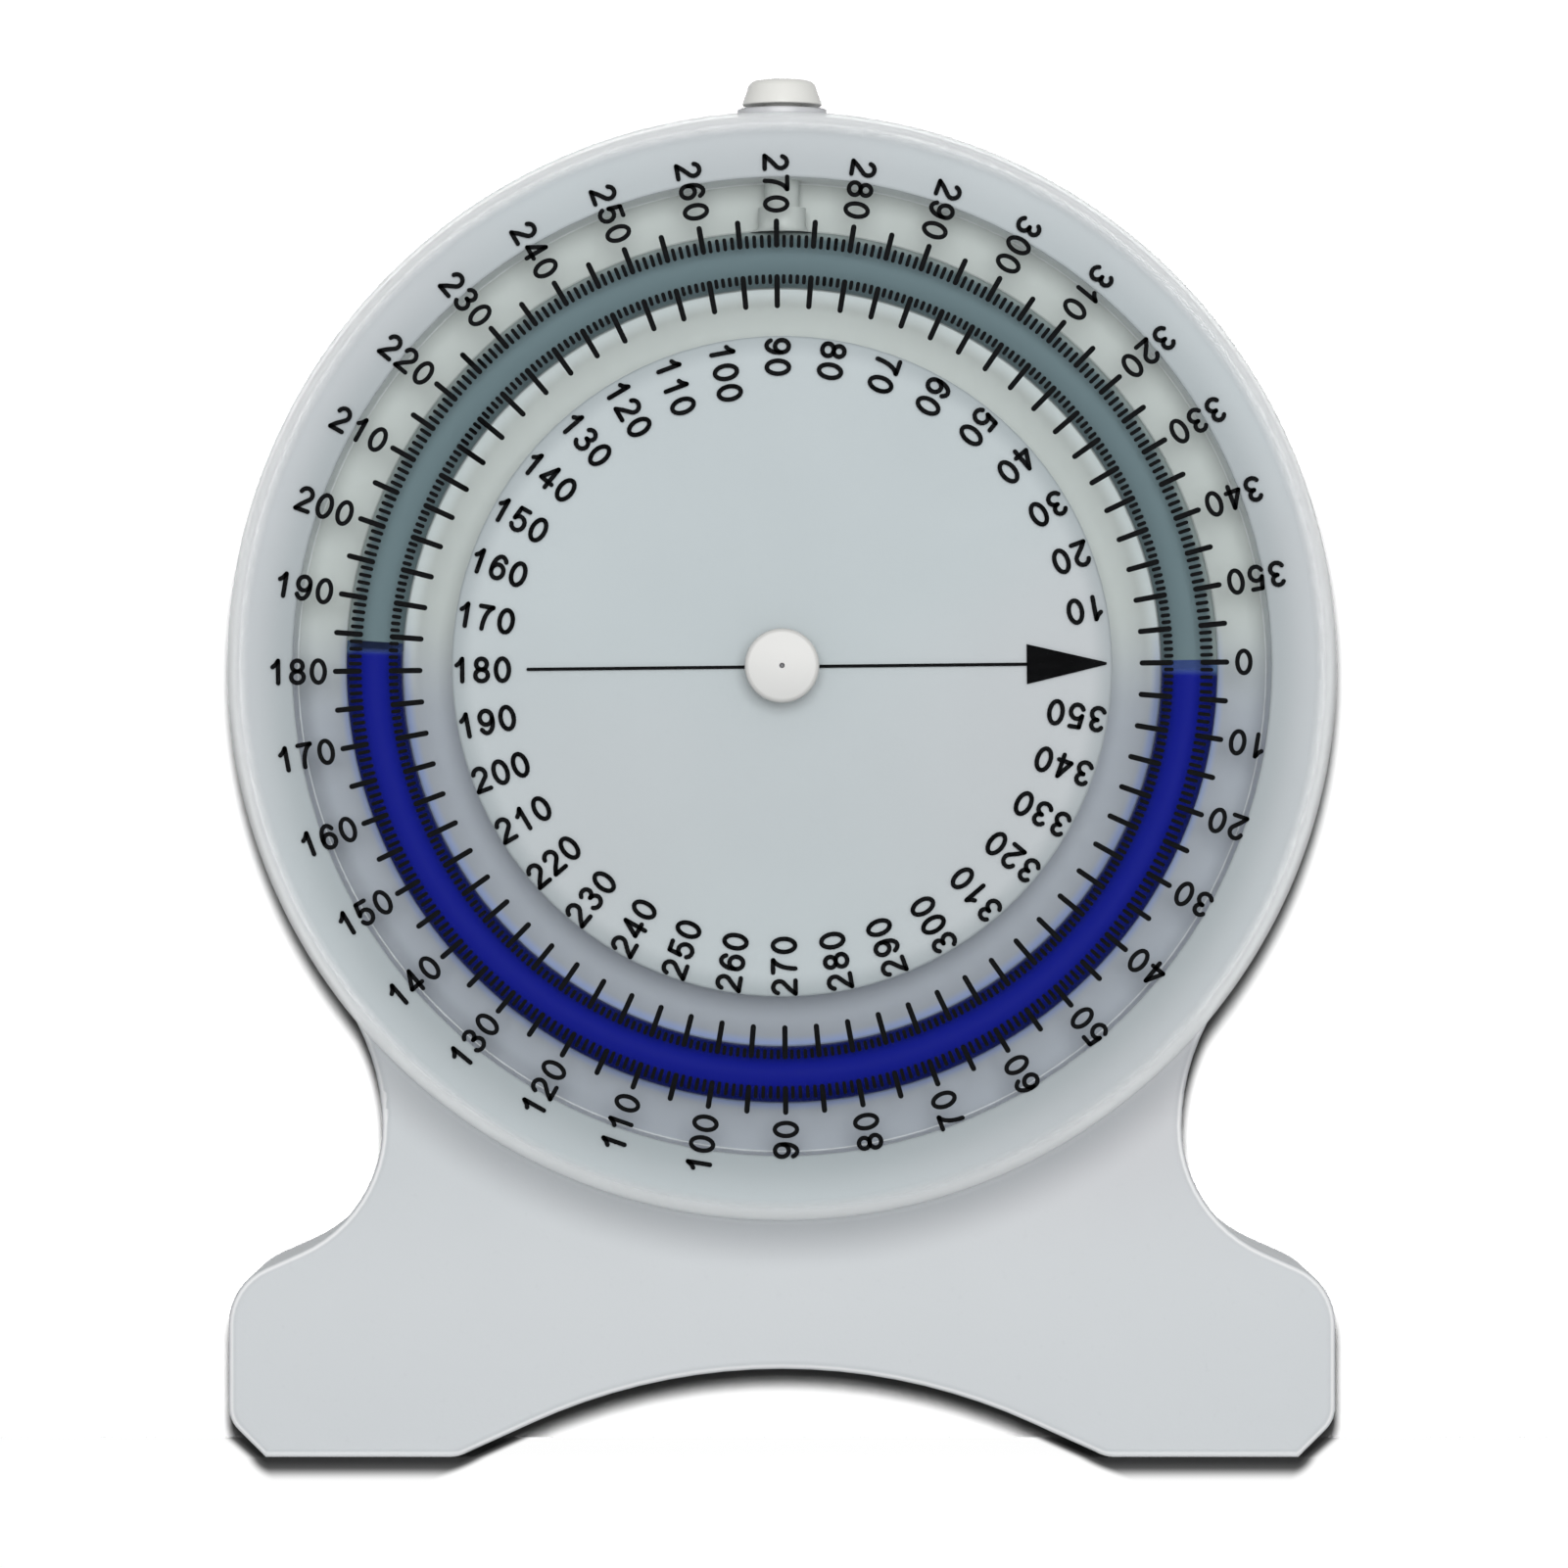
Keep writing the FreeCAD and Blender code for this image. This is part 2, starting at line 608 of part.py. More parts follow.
def filler_stem(doc):
    """The clear pipe from the tube's port, through the drum, to the top of the filler's boss."""
    pipe = post(doc, "StemPipe", "stem_radius", "socket_floor_z", "filler_boss_top_z")
    way = post(doc, "StemWay", "stem_bore_radius", "socket_floor_z - overrun",
               "filler_boss_top_z + overrun")
    return cut(doc, "filler_stem", pipe, way)


def plug_gasket(doc):
    """The soft washer between the boss and the plug's head."""
    disc = post(doc, "GasketDisc", "gasket_radius", "filler_boss_top_z", "plug_head_z")
    way = post(doc, "GasketWay", "stem_bore_radius", "filler_boss_top_z - overrun", "plug_head_z + overrun")
    return cut(doc, "plug_gasket", disc, way)


def filler_plug(doc):
    """The plug: a tapered head with a rounded crown, and a shank that closes the stem."""
    points = [
        ("0", "-plug_shank_length"),
        ("stem_bore_radius", "-plug_shank_length"),
        ("stem_bore_radius", "0"),
        ("plug_base_radius", "0"),
        ("plug_top_radius", "plug_head_height"),
        ("0", "plug_head_height"),
    ]
    body = turned(doc, "filler_plug", points, FRONT_VIEW, "0", "tube_y", "plug_head_z")
    crown = on_circle(size(doc, "plug_top_radius"), size(doc, "plug_head_height"))
    return rounded(doc, body, "PlugCrown", "plug_head_round", crown)


def liquid_column(doc):
    """The liquid as an arc of a ring that fills the bore, hanging a little off level."""
    arc = doc.addObject("Part::Torus", "liquid_column")
    bind(arc, "Radius1", "tube_ring_radius")
    bind(arc, "Radius2", "tube_bore_radius - liquid_clearance")
    bind(arc, "Angle3", "liquid_sweep_angle")
    start = 90 + size(doc, "liquid_tilt_angle") - size(doc, "liquid_sweep_angle") / 2
    arc.Placement.Rotation = ALONG_PIVOT * FreeCAD.Rotation(SKETCH_NORMAL, start)
    return place(arc, "0", "tube_y", "dial_height")


# The dial and what it turns on

def dial_disc(doc):
    """The clear disc that carries both scales, with a rounded front rim."""
    points = [
        ("pin_radius", "0"),
        ("disc_radius", "0"),
        ("disc_radius", "disc_thickness"),
        ("pin_radius", "disc_thickness"),
    ]
    body = turned(doc, "dial_disc", points, FreeCAD.Rotation(), "0", "disc_front_y")
    return rounded(doc, body, "DiscRim", "disc_round", on_circle(size(doc, "disc_radius"), 0))


def pivot_pin(doc):
    """The moulded pin: a round-edged head with a dimple at its gate, a shank and the clip's groove."""
    back = "pin_end_y - head_front_y"
    groove_front = "clip_front_y - head_front_y"
    groove_back = "clip_back_y - head_front_y"
    points = [
        ("0", "dimple_depth"),
        ("dimple_radius", "0"),
        ("head_radius", "0"),
        ("head_radius", "head_height"),
        ("pin_radius", "head_height"),
        ("pin_radius", groove_front),
        ("clip_groove_radius", groove_front),
        ("clip_groove_radius", groove_back),
        ("pin_radius", groove_back),
        ("pin_radius", back),
        ("0", back),
    ]
    body = turned(doc, "pivot_pin", points, FreeCAD.Rotation(), "0", "head_front_y")
    return rounded(doc, body, "HeadEdge", "head_round", on_circle(size(doc, "head_radius"), 0))


def pivot_bush(doc):
    """The flanged bush in the housing's boss, just proud of the face so that the dial rides on it."""
    flange_front = "pivot_boss_back_y - bush_front_y"
    back = "thrust_y - bush_front_y"
    points = [
        ("bush_bore_radius", "0"),
        ("bush_radius", "0"),
        ("bush_radius", flange_front),
        ("bush_flange_radius", flange_front),
        ("bush_flange_radius", back),
        ("bush_bore_radius", back),
    ]
    return turned(doc, "pivot_bush", points, FreeCAD.Rotation(), "0", "bush_front_y")


def flat_washer(doc, name, radius, thickness, start):
    """A plain washer round the pin."""
    points = [
        ("washer_bore_radius", "0"),
        (radius, "0"),
        (radius, thickness),
        ("washer_bore_radius", thickness),
    ]
    return turned(doc, name, points, FreeCAD.Rotation(), "0", start)


def spring_washer(doc):
    """The dished washer that presses the dial's parts together."""
    points = [
        ("washer_bore_radius", "spring_washer_height - spring_washer_thickness"),
        ("spring_washer_radius", "0"),
        ("spring_washer_radius", "spring_washer_thickness"),
        ("washer_bore_radius", "spring_washer_height"),
    ]
    return turned(doc, "spring_washer", points, FreeCAD.Rotation(), "0", "spring_front_y")


def retaining_clip(doc):
    """The open clip that snaps into the pin's groove from the side."""
    plate = ring(doc, "ClipPlate", "clip_radius", "clip_groove_radius", "clip_front_y", "clip_thickness")
    mouth = doc.addObject("Part::Box", "ClipMouth")
    bind(mouth, "Length", "clip_mouth")
    bind(mouth, "Width", "clip_thickness + 2 * overrun")
    bind(mouth, "Height", "clip_radius + overrun")
    place(mouth, "-clip_mouth / 2", "clip_front_y - overrun", "dial_height - clip_radius - overrun")
    return cut(doc, "retaining_clip", plate, mouth)


def build():
    """Makes the document and returns its sub-parts, each labelled with its node's name."""
    doc = FreeCAD.newDocument("Inclinometer")
    make_sheet(doc)
    nodes = [
        front_housing(doc),
        rear_cover(doc),
        cover_screws(doc),
        fluid_tube(doc),
        filler_stem(doc),
        plug_gasket(doc),
        filler_plug(doc),
        pivot_bush(doc),
        dial_disc(doc),
        pivot_pin(doc),
        flat_washer(doc, "friction_washer", "friction_washer_radius", "friction_washer_thickness",
                    "washer_front_y"),
        spring_washer(doc),
        flat_washer(doc, "backing_washer", "backing_washer_radius", "backing_washer_thickness",
                    "backing_front_y"),
        retaining_clip(doc),
        liquid_column(doc),
    ]
    doc.recompute()
    return doc, nodes


def check(doc, nodes):
    """Stops on any object that failed and on any sub-part whose shape isn't sound."""
    for item in doc.Objects:
        if "Invalid" in item.State or "Error" in item.State:
            raise RuntimeError(f"{item.Name} failed: {item.State}")
    for node in nodes:
        if node.Shape.isNull() or not node.Shape.isValid() or not node.Shape.Solids:
            raise RuntimeError(f"{node.Label} has no sound shape")


def main():
    doc, nodes = build()
    check(doc, nodes)
    os.makedirs("parts", exist_ok=True)
    for node in nodes:
        node.Shape.exportStep(f"parts/{node.Label}.step")
        box = node.Shape.BoundBox
        print(f"{node.Label}: {len(node.Shape.Solids)} solids, {node.Shape.Volume:.1f} mm3, "
              f"x {box.XMin:.2f} {box.XMax:.2f}, y {box.YMin:.2f} {box.YMax:.2f}, "
              f"z {box.ZMin:.2f} {box.ZMax:.2f}")


main()
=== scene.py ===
# The inclinometer, dressed. A clear dial with two printed scales turns in front of a ring tube half
# full of blue liquid, and the tube lies in a recess of a pale moulded stand.
# Lengths are in metres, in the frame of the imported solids: X right, Y backwards and Z up.

import math

import bmesh
import bpy
import numpy as np
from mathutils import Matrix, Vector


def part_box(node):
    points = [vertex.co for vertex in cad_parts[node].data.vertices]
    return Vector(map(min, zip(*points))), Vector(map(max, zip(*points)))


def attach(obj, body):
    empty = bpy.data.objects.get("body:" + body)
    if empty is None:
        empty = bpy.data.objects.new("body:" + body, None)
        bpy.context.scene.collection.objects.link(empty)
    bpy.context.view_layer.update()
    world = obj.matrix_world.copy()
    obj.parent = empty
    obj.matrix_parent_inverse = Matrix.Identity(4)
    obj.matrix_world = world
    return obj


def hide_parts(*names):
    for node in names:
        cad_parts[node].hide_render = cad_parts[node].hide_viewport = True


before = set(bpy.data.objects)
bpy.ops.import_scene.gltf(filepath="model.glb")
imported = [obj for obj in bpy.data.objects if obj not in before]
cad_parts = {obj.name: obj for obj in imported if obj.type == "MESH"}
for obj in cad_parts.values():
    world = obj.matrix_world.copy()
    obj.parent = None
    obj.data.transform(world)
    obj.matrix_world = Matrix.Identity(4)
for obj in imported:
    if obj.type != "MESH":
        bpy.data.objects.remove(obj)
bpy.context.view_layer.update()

MM = 0.001
# points of a piece that are closer than this become one
WELD_DISTANCE = 0.0001 * MM

# how many steps go round a full turn: of the dial, a small turned piece, the ring and its section
DIAL_TURN = 720
SMALL_TURN = 96
RING_TURN = 360
TUBE_TURN = 64
BORE_TURN = 48
# how many points a curve has: the disc's rim, a rounding, a small one, the plug's crown, a closed
# stroke of ink, the liquid along the ring, its hollow ends and the part that climbs the wall
RIM_STEPS = 17
ROUND_STEPS = 9
SMALL_ROUND_STEPS = 7
CROWN_STEPS = 10
LOOP_STEPS = 24
LIQUID_STEPS = 240
END_STEPS = 13
CLIMB_STEPS = 10
# edges sharper than this stay sharp, in degrees
PIECE_CREASE = 35
INK_CREASE = 30

# Places and sizes read from the solids


def corners(node):
    """A solid's lowest and highest corners."""
    low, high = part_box(node)
    return np.array(low), np.array(high)


disc_low, disc_high = corners("dial_disc")
DIAL_RADIUS = (disc_high[0] - disc_low[0]) / 2
DIAL_Z = (disc_high[2] + disc_low[2]) / 2
DISC_FRONT = disc_low[1]
DISC_BACK = disc_high[1]

housing_low, housing_high = corners("front_housing")
FACE_Y = housing_low[1]
BACK_Y = housing_high[1]

tube_low, tube_high = corners("fluid_tube")
TUBE_RADIUS = (tube_high[1] - tube_low[1]) / 2
TUBE_Y = (tube_high[1] + tube_low[1]) / 2
RING_RADIUS = (tube_high[0] - tube_low[0]) / 2 - TUBE_RADIUS
PORT_TOP = tube_high[2]

pin_low, pin_high = corners("pivot_pin")
PIN_FRONT = pin_low[1]
PIN_BACK = pin_high[1]
HEAD_RADIUS = (pin_high[0] - pin_low[0]) / 2

plug_low, plug_high = corners("filler_plug")
PLUG_RADIUS = (plug_high[0] - plug_low[0]) / 2
PLUG_BOTTOM = plug_low[2]
PLUG_TOP = plug_high[2]
gasket_high = corners("plug_gasket")[1]
PLUG_SEAT = gasket_high[2]

# Sizes that only the look needs

DISC_ROUND = 1.2 * MM
DISC_BACK_EDGE = 0.12 * MM
PIN_RADIUS = 1.5 * MM

HEAD_ROUND = 0.4 * MM
DIMPLE_RADIUS = 0.25 * MM
DIMPLE_DEPTH = 0.3 * MM
GROOVE_RADIUS = 1.15 * MM
GROOVE_WIDTH = 0.6 * MM
PIN_TAIL = 0.8 * MM
TAIL_CHAMFER = 0.2 * MM

# the tube's wall is thin here, so that the liquid fills the width that a thick wall's lens gives it
TUBE_WALL = 0.11 * MM
PORT_RADIUS = 2.2 * MM
PORT_FLARE = 0.7 * MM
# how far the port's flare goes below the tube's crown, where the tube falls away at its sides
PORT_SINK = 0.28 * MM
LIQUID_CLEARANCE = 0.02 * MM
COLUMN_RADIUS = TUBE_RADIUS - TUBE_WALL - LIQUID_CLEARANCE
AIR_GAP = 0.03 * MM
# levels of the two ends' middles above the dial's axis, and how far the edge climbs the wall there
LEFT_LEVEL = 1.0 * MM
RIGHT_LEVEL = -0.9 * MM
LEFT_CLIMB = 1.3 * MM
RIGHT_CLIMB = 1.5 * MM
# the angles round the ring of each end's middle and of its edge on the wall
LEFT_END = math.pi - LEFT_LEVEL / RING_RADIUS
LEFT_EDGE = LEFT_END - LEFT_CLIMB / RING_RADIUS
RIGHT_END = 2 * math.pi + RIGHT_LEVEL / RING_RADIUS
RIGHT_EDGE = RIGHT_END + RIGHT_CLIMB / RING_RADIUS

# the recess reaches this far to both sides of the ring's middle
RECESS_HALF_WIDTH = 7.3 * MM
RECESS_OUTER = RING_RADIUS + RECESS_HALF_WIDTH
RECESS_INNER = RING_RADIUS - RECESS_HALF_WIDTH
RECESS_LIP = 0.4 * MM
# where a highlight is painted along the stand's front edges, as depths behind its face
EDGE_LINE_START = 0.02 * MM
EDGE_LINE_PEAK = 0.15 * MM
EDGE_LINE_END = 0.5 * MM
# the shade painted on the face round the recess's outer and inner rims reaches this far
OUTER_EDGE_SHADE_REACH = 4.5 * MM
INNER_EDGE_SHADE_REACH = 2.25 * MM
# every edge is this round to the light, and it is less so at the feet
SOFT_EDGE = 0.45 * MM
SOFT_EDGE_AT_FEET = 0.1575 * MM
# how far the shade painted on the stand below the dial's rim reaches
RIM_SHADE_REACH = 5 * MM

# Each pair is where a shade starts and where it is full: as heights over the floor
FEET_PALE = (30 * MM, 14 * MM)
SOLE_LINE = (0.7 * MM, 0.35 * MM)
EDGE_SOFTER = (12 * MM, 24 * MM)
# as depths below the dial's axis
LOW_ON_EDGE = (-40 * MM, 20 * MM)
OFF_TOP = (-44 * MM, -20 * MM)
BELOW_DIAL = (0.2 * DIAL_RADIUS, 0.9 * DIAL_RADIUS)
LOWER_HALF = (-6 * MM, 6 * MM)
LOW_ON_KNOB = (-0.5 * HEAD_RADIUS, HEAD_RADIUS)
# as distances out from the dial's rim, and from the recess's outer or inner wall
PAST_RIM = (-0.3 * MM, 0.6 * MM)
RIM_GLOW = (-2.1 * MM, -0.6 * MM)
RIM_PALE = (-2.3 * MM, -2.1 * MM)
AT_OUTER_WALL = (-0.2 * MM, -0.05 * MM)
AT_INNER_WALL = (0.2 * MM, 0)
IN_CORNER = (-2 * MM, -0.7 * MM)
# as distances to the right of the dial's axis, to which the corner adds the depth below it
CORNER_ASIDE = (40 * MM, 0)
LEFT_SIDE = (10 * MM, -10 * MM)
# as shares of the tube's radius, out from the middle of its section
GLEAM_START = (-1.5, -1.0)
GLEAM_END = (0, -0.5)
TUBE_GLOW = (1.3, 1.0)
TUBE_EDGE = (0.88, 0.99)
OUTER_BORE = (0.6, 0.9)
BY_THE_WALL = (0.35, 0.95)
# as distances from the pivot's axis
AROUND_DIMPLE = (0.8 * DIMPLE_RADIUS, 1.15 * DIMPLE_RADIUS)
# as shares of the liquid's climb, and of the noise's range
CLIMB_THINS = (0, 0.6)
DRIFT_BAND = (0.4, 0.62)
FLECK_BAND = (0.62, 0.8)
# how deep the grain of each surface is
SATIN_DEPTH = 0.02 * MM
TEXTURE_DEPTH = 0.06 * MM
TOOL_MARK_DEPTH = 0.01 * MM
MOULD_DEPTH = 0.012 * MM
# how dark a tool mark is, as a share of the metal's colour
MARK_SHADE = 0.82
# how much of what is behind it the air in the tube covers
AIR_COVER = 0.88

PLUG_SHANK_RADIUS = 0.9 * MM
PLUG_CROWN_ROUND = 0.9 * MM
PLUG_CROWN_INSET = 0.72 * MM
PLUG_TAPER = 0.65 * MM
PLUG_FOOT_ROUND = 0.15 * MM
# the head's sides lean in, so its roundings end this many degrees from level
CROWN_LEAN = 8
FOOT_LEAN = 10

# The print

FULL_TURN = 360
LABEL_EVERY = 10
BOLD_EVERY = 5
# the print is turned by this many degrees, and sits a hair off the pivot, to the left and down
PRINT_TURN = 0.6
PRINT_LEFT = 0.09 * MM
PRINT_DOWN = 0.05 * MM
INK_THICKNESS = 0.02 * MM
# the angles of the points that round off an open end of a stroke
ROUND_END = (90, 60, 30)
LINE_WIDTH = 0.3 * MM
FINE_TICK = 0.35 * MM
BOLD_TICK = 0.5 * MM
# the near end of each ring's ticks, and the far ends of its short and long ones
OUTER_TICKS = (38.42 * MM, 39.63 * MM, 41.1 * MM)
INNER_TICKS = (36.0 * MM, 35.1 * MM, 32.86 * MM)
OUTER_LABEL_END = 41.47 * MM
INNER_LABEL_START = 30.34 * MM
DIGIT_ADVANCE = 1.917 * MM
DIGIT_WIDTH = 1.62 * MM
DIGIT_HEIGHT = 2.47 * MM
DIGIT_STROKE = 0.42 * MM
ARROW_TIP = 29.85 * MM
ARROW_BASE = 22.53 * MM
ARROW_HALF_WIDTH = 1.84 * MM
TIP_HALF_WIDTH = 0.1104 * MM
LINE_LEFT_END = 23.2 * MM


def colour(red, green, blue):
    """A colour with its alpha."""
    return (red, green, blue, 1.0)


def grey(level):
    """A grey of one level."""
    return colour(level, level, level)


# Colours of the stand

FACE_COOL = colour(0.575, 0.607, 0.628)
FACE_WARM = colour(0.592, 0.594, 0.616)
FEET_LIGHT = colour(0.625, 0.654, 0.674)
PAINTED_EDGE_HIGHLIGHT = colour(0.96, 0.97, 0.98)
PAINTED_SOLE_HIGHLIGHT = colour(0.9, 0.92, 0.93)
PAINTED_RECESS_EDGE_SHADE = colour(0.33, 0.36, 0.38)
RIM_SHADE = colour(0.33, 0.35, 0.37)
RECESS_PAINTED_LIGHT = colour(0.575, 0.595, 0.575)
RECESS_PAINTED_SHADE = colour(0.415, 0.435, 0.48)
RECESS_PAINTED_GLEAM = colour(0.9, 0.94, 0.94)
PAINTED_BLUE_GLOW = colour(0.36, 0.46, 0.8)
PAINTED_CORNER_SHADE = colour(0.2, 0.21, 0.235)
PAINTED_WALL_LIGHT = colour(0.95, 0.96, 0.97)
FLECK_GREY = colour(0.48, 0.5, 0.52)
COVER_DARK = colour(0.55, 0.58, 0.6)
COVER_LIGHT = colour(0.62, 0.65, 0.67)

# Colours of the dial, the tube and the liquid

KNOB_WHITE = colour(0.65, 0.65, 0.635)
KNOB_CLOUD = colour(0.62, 0.62, 0.605)
KNOB_PAINTED_SHADE = colour(0.55, 0.555, 0.545)
DIMPLE_PAINTED_SHADE = colour(0.2, 0.2, 0.21)
INK_BLACK = colour(0.001, 0.001, 0.0012)
INK_MOTTLE = colour(0.004, 0.004, 0.005)
DIAL_GLINT = colour(0.004, 0.004, 0.005)
DIAL_RIM = colour(0.86, 0.87, 0.88)
DIAL_CLEAR = colour(0.958, 0.9705, 0.971)
TUBE_PALE = colour(0.68, 0.74, 0.76)
PORT_MILKY = colour(0.62, 0.64, 0.62)
STEM_DARK = colour(0.6, 0.62, 0.6)
STEM_LIGHT = colour(0.64, 0.66, 0.64)
AIR_DIM = colour(0.2, 0.275, 0.3)
AIR_PALE = colour(0.5, 0.57, 0.56)
LIQUID_DEEP = colour(0.004, 0.010, 0.3)
LIQUID_DARK = colour(0.003, 0.010, 0.17)
FILM_BLUE = colour(0.12, 0.2, 0.62)
FILM_PALE = colour(0.3, 0.5, 0.85)

# Surfaces: each shell is an array of points and an array of quads


def grid_faces(rows, columns, round_rows=False, round_columns=False):
    """Quads over a grid of rows and columns of points, each way closed into a ring where asked."""
    row = np.arange(rows if round_rows else rows - 1)[:, None]
    column = np.arange(columns if round_columns else columns - 1)[None, :]
    next_row = (row + 1) % rows
    next_column = (column + 1) % columns
    quads = [row * columns + column, row * columns + next_column,
             next_row * columns + next_column, next_row * columns + column]
    return np.stack(quads, axis=-1).reshape(-1, 4)


def outward(points, faces, hollow=False):
    """The faces turned to give their shell a positive volume, or a negative one round a hollow.

    The volume is the sum over each quad a, b, c, d of (a . b x c + a . c x d) / 6.
    """
    a, b, c, d = (points[faces[:, k]] for k in range(4))
    volume = np.sum(a * np.cross(b, c)) + np.sum(a * np.cross(c, d))
    return faces if (volume > 0) != hollow else faces[:, ::-1]


def merged(shells):
    """Several shells as one: their points end to end, and their faces counted on."""
    starts = np.cumsum([0] + [len(points) for points, faces in shells])
    points = np.concatenate([shell[0] for shell in shells])
    faces = np.concatenate([shell[1] + start for shell, start in zip(shells, starts)])
    return points, faces


def bow(across, up, wide, high, first, last, steps):
    """An ellipse's arc: (across + wide cos a, up + high sin a) for a from first to last degrees."""
    angle = np.radians(np.linspace(first, last, steps))
    return np.stack([across + wide * np.cos(angle), up + high * np.sin(angle)], axis=1)


def lathe(profile, turns, upright=False, closed=False):
    """A profile of (radius, along) carried round an axis.

    Round the pivot, the point at angle t is (radius cos t, along, axis + radius sin t). Round the
    filler's upright axis it is (radius cos t, tube's plane + radius sin t, along).
    """
    angle = np.linspace(0, 2 * np.pi, turns, endpoint=False)
    radius = profile[:, :1]
    along = np.broadcast_to(profile[:, 1:], (len(profile), turns))
    if upright:
        points = np.stack([radius * np.cos(angle), TUBE_Y + radius * np.sin(angle), along], axis=-1)
    else:
        points = np.stack([radius * np.cos(angle), along, DIAL_Z + radius * np.sin(angle)], axis=-1)
    points = points.reshape(-1, 3)
    return points, outward(points, grid_faces(len(profile), turns, closed, True))


def new_object(name, data):
    """A new object in the scene."""
    made = bpy.data.objects.new(name, data)
    bpy.context.scene.collection.objects.link(made)
    return made


def piece(name, shells, finish, body, replaces=(), crease=PIECE_CREASE, marks=None):
    """Makes a piece of one or more shells, smooth but for its creases, and rides it on a body.

    The marks are values kept at each point, by name.
    """
    points, faces = merged(shells)
    mesh = bpy.data.meshes.new(name)
    mesh.from_pydata(points.tolist(), [], faces.tolist())
    for mark, values in (marks or {}).items():
        mesh.attributes.new(mark, "FLOAT", "POINT").data.foreach_set("value", values.ravel())
    shape = bmesh.new()
    shape.from_mesh(mesh)
    bmesh.ops.remove_doubles(shape, verts=shape.verts, dist=WELD_DISTANCE)
    shape.to_mesh(mesh)
    shape.free()
    mesh.polygons.foreach_set("use_smooth", np.ones(len(mesh.polygons), bool))
    mesh.set_sharp_from_angle(angle=math.radians(crease))
    mesh.materials.append(finish)
    made = new_object(name, mesh)
    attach(made, body)
    if replaces:
        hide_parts(*replaces)
    return made


# Shader maths

# a Mix node's sockets for colours, which share their names with its sockets for numbers
MIX_FACTOR = 0
MIX_FIRST = 6
MIX_SECOND = 7
MIX_RESULT = 2


class Shade:
    """A socket whose number or colour changes over a surface; arithmetic on it adds Math nodes."""

    def __init__(self, nodes, socket):
        self.nodes = nodes
        self.socket = socket

    def maths(self, operation, *values):
        """A Math node of one operation on two or three values."""
        made = self.nodes.add("ShaderNodeMath", {"operation": operation}, dict(enumerate(values)))
        return Shade(self.nodes, made.outputs[0])

    def __add__(self, other):
        return self.maths("ADD", self, other)

    def __radd__(self, other):
        return self.maths("ADD", other, self)

    def __sub__(self, other):
        return self.maths("SUBTRACT", self, other)

    def __rsub__(self, other):
        return self.maths("SUBTRACT", other, self)

    def __mul__(self, other):
        return self.maths("MULTIPLY", self, other)

    def __rmul__(self, other):
        return self.maths("MULTIPLY", other, self)

    def __truediv__(self, other):
        return self.maths("DIVIDE", self, other)

    def __pow__(self, other):
        return self.maths("POWER", self, other)

    def __abs__(self):
        return self.maths("ABSOLUTE", self)

    def at_least(self, other):
        """The larger of this and another value."""
        return self.maths("MAXIMUM", self, other)

    def wave(self):
        """A wave from 0 to 1, half of 1 + the sine of this value."""
        return (1 + self.maths("SINE", self)) * 0.5

    def between(self, low, high):
        """A value that goes from low to high as this one goes from 0 to 1."""
        return low + (high - low) * self

    def step(self, start, end):
        """A smooth step, from 0 where this is at start to 1 where it is at end."""
        made = self.nodes.add("ShaderNodeMapRange", {"interpolation_type": "SMOOTHSTEP"},
                              {"Value": self, "From Min": start, "From Max": end})
        return Shade(self.nodes, made.outputs["Result"])


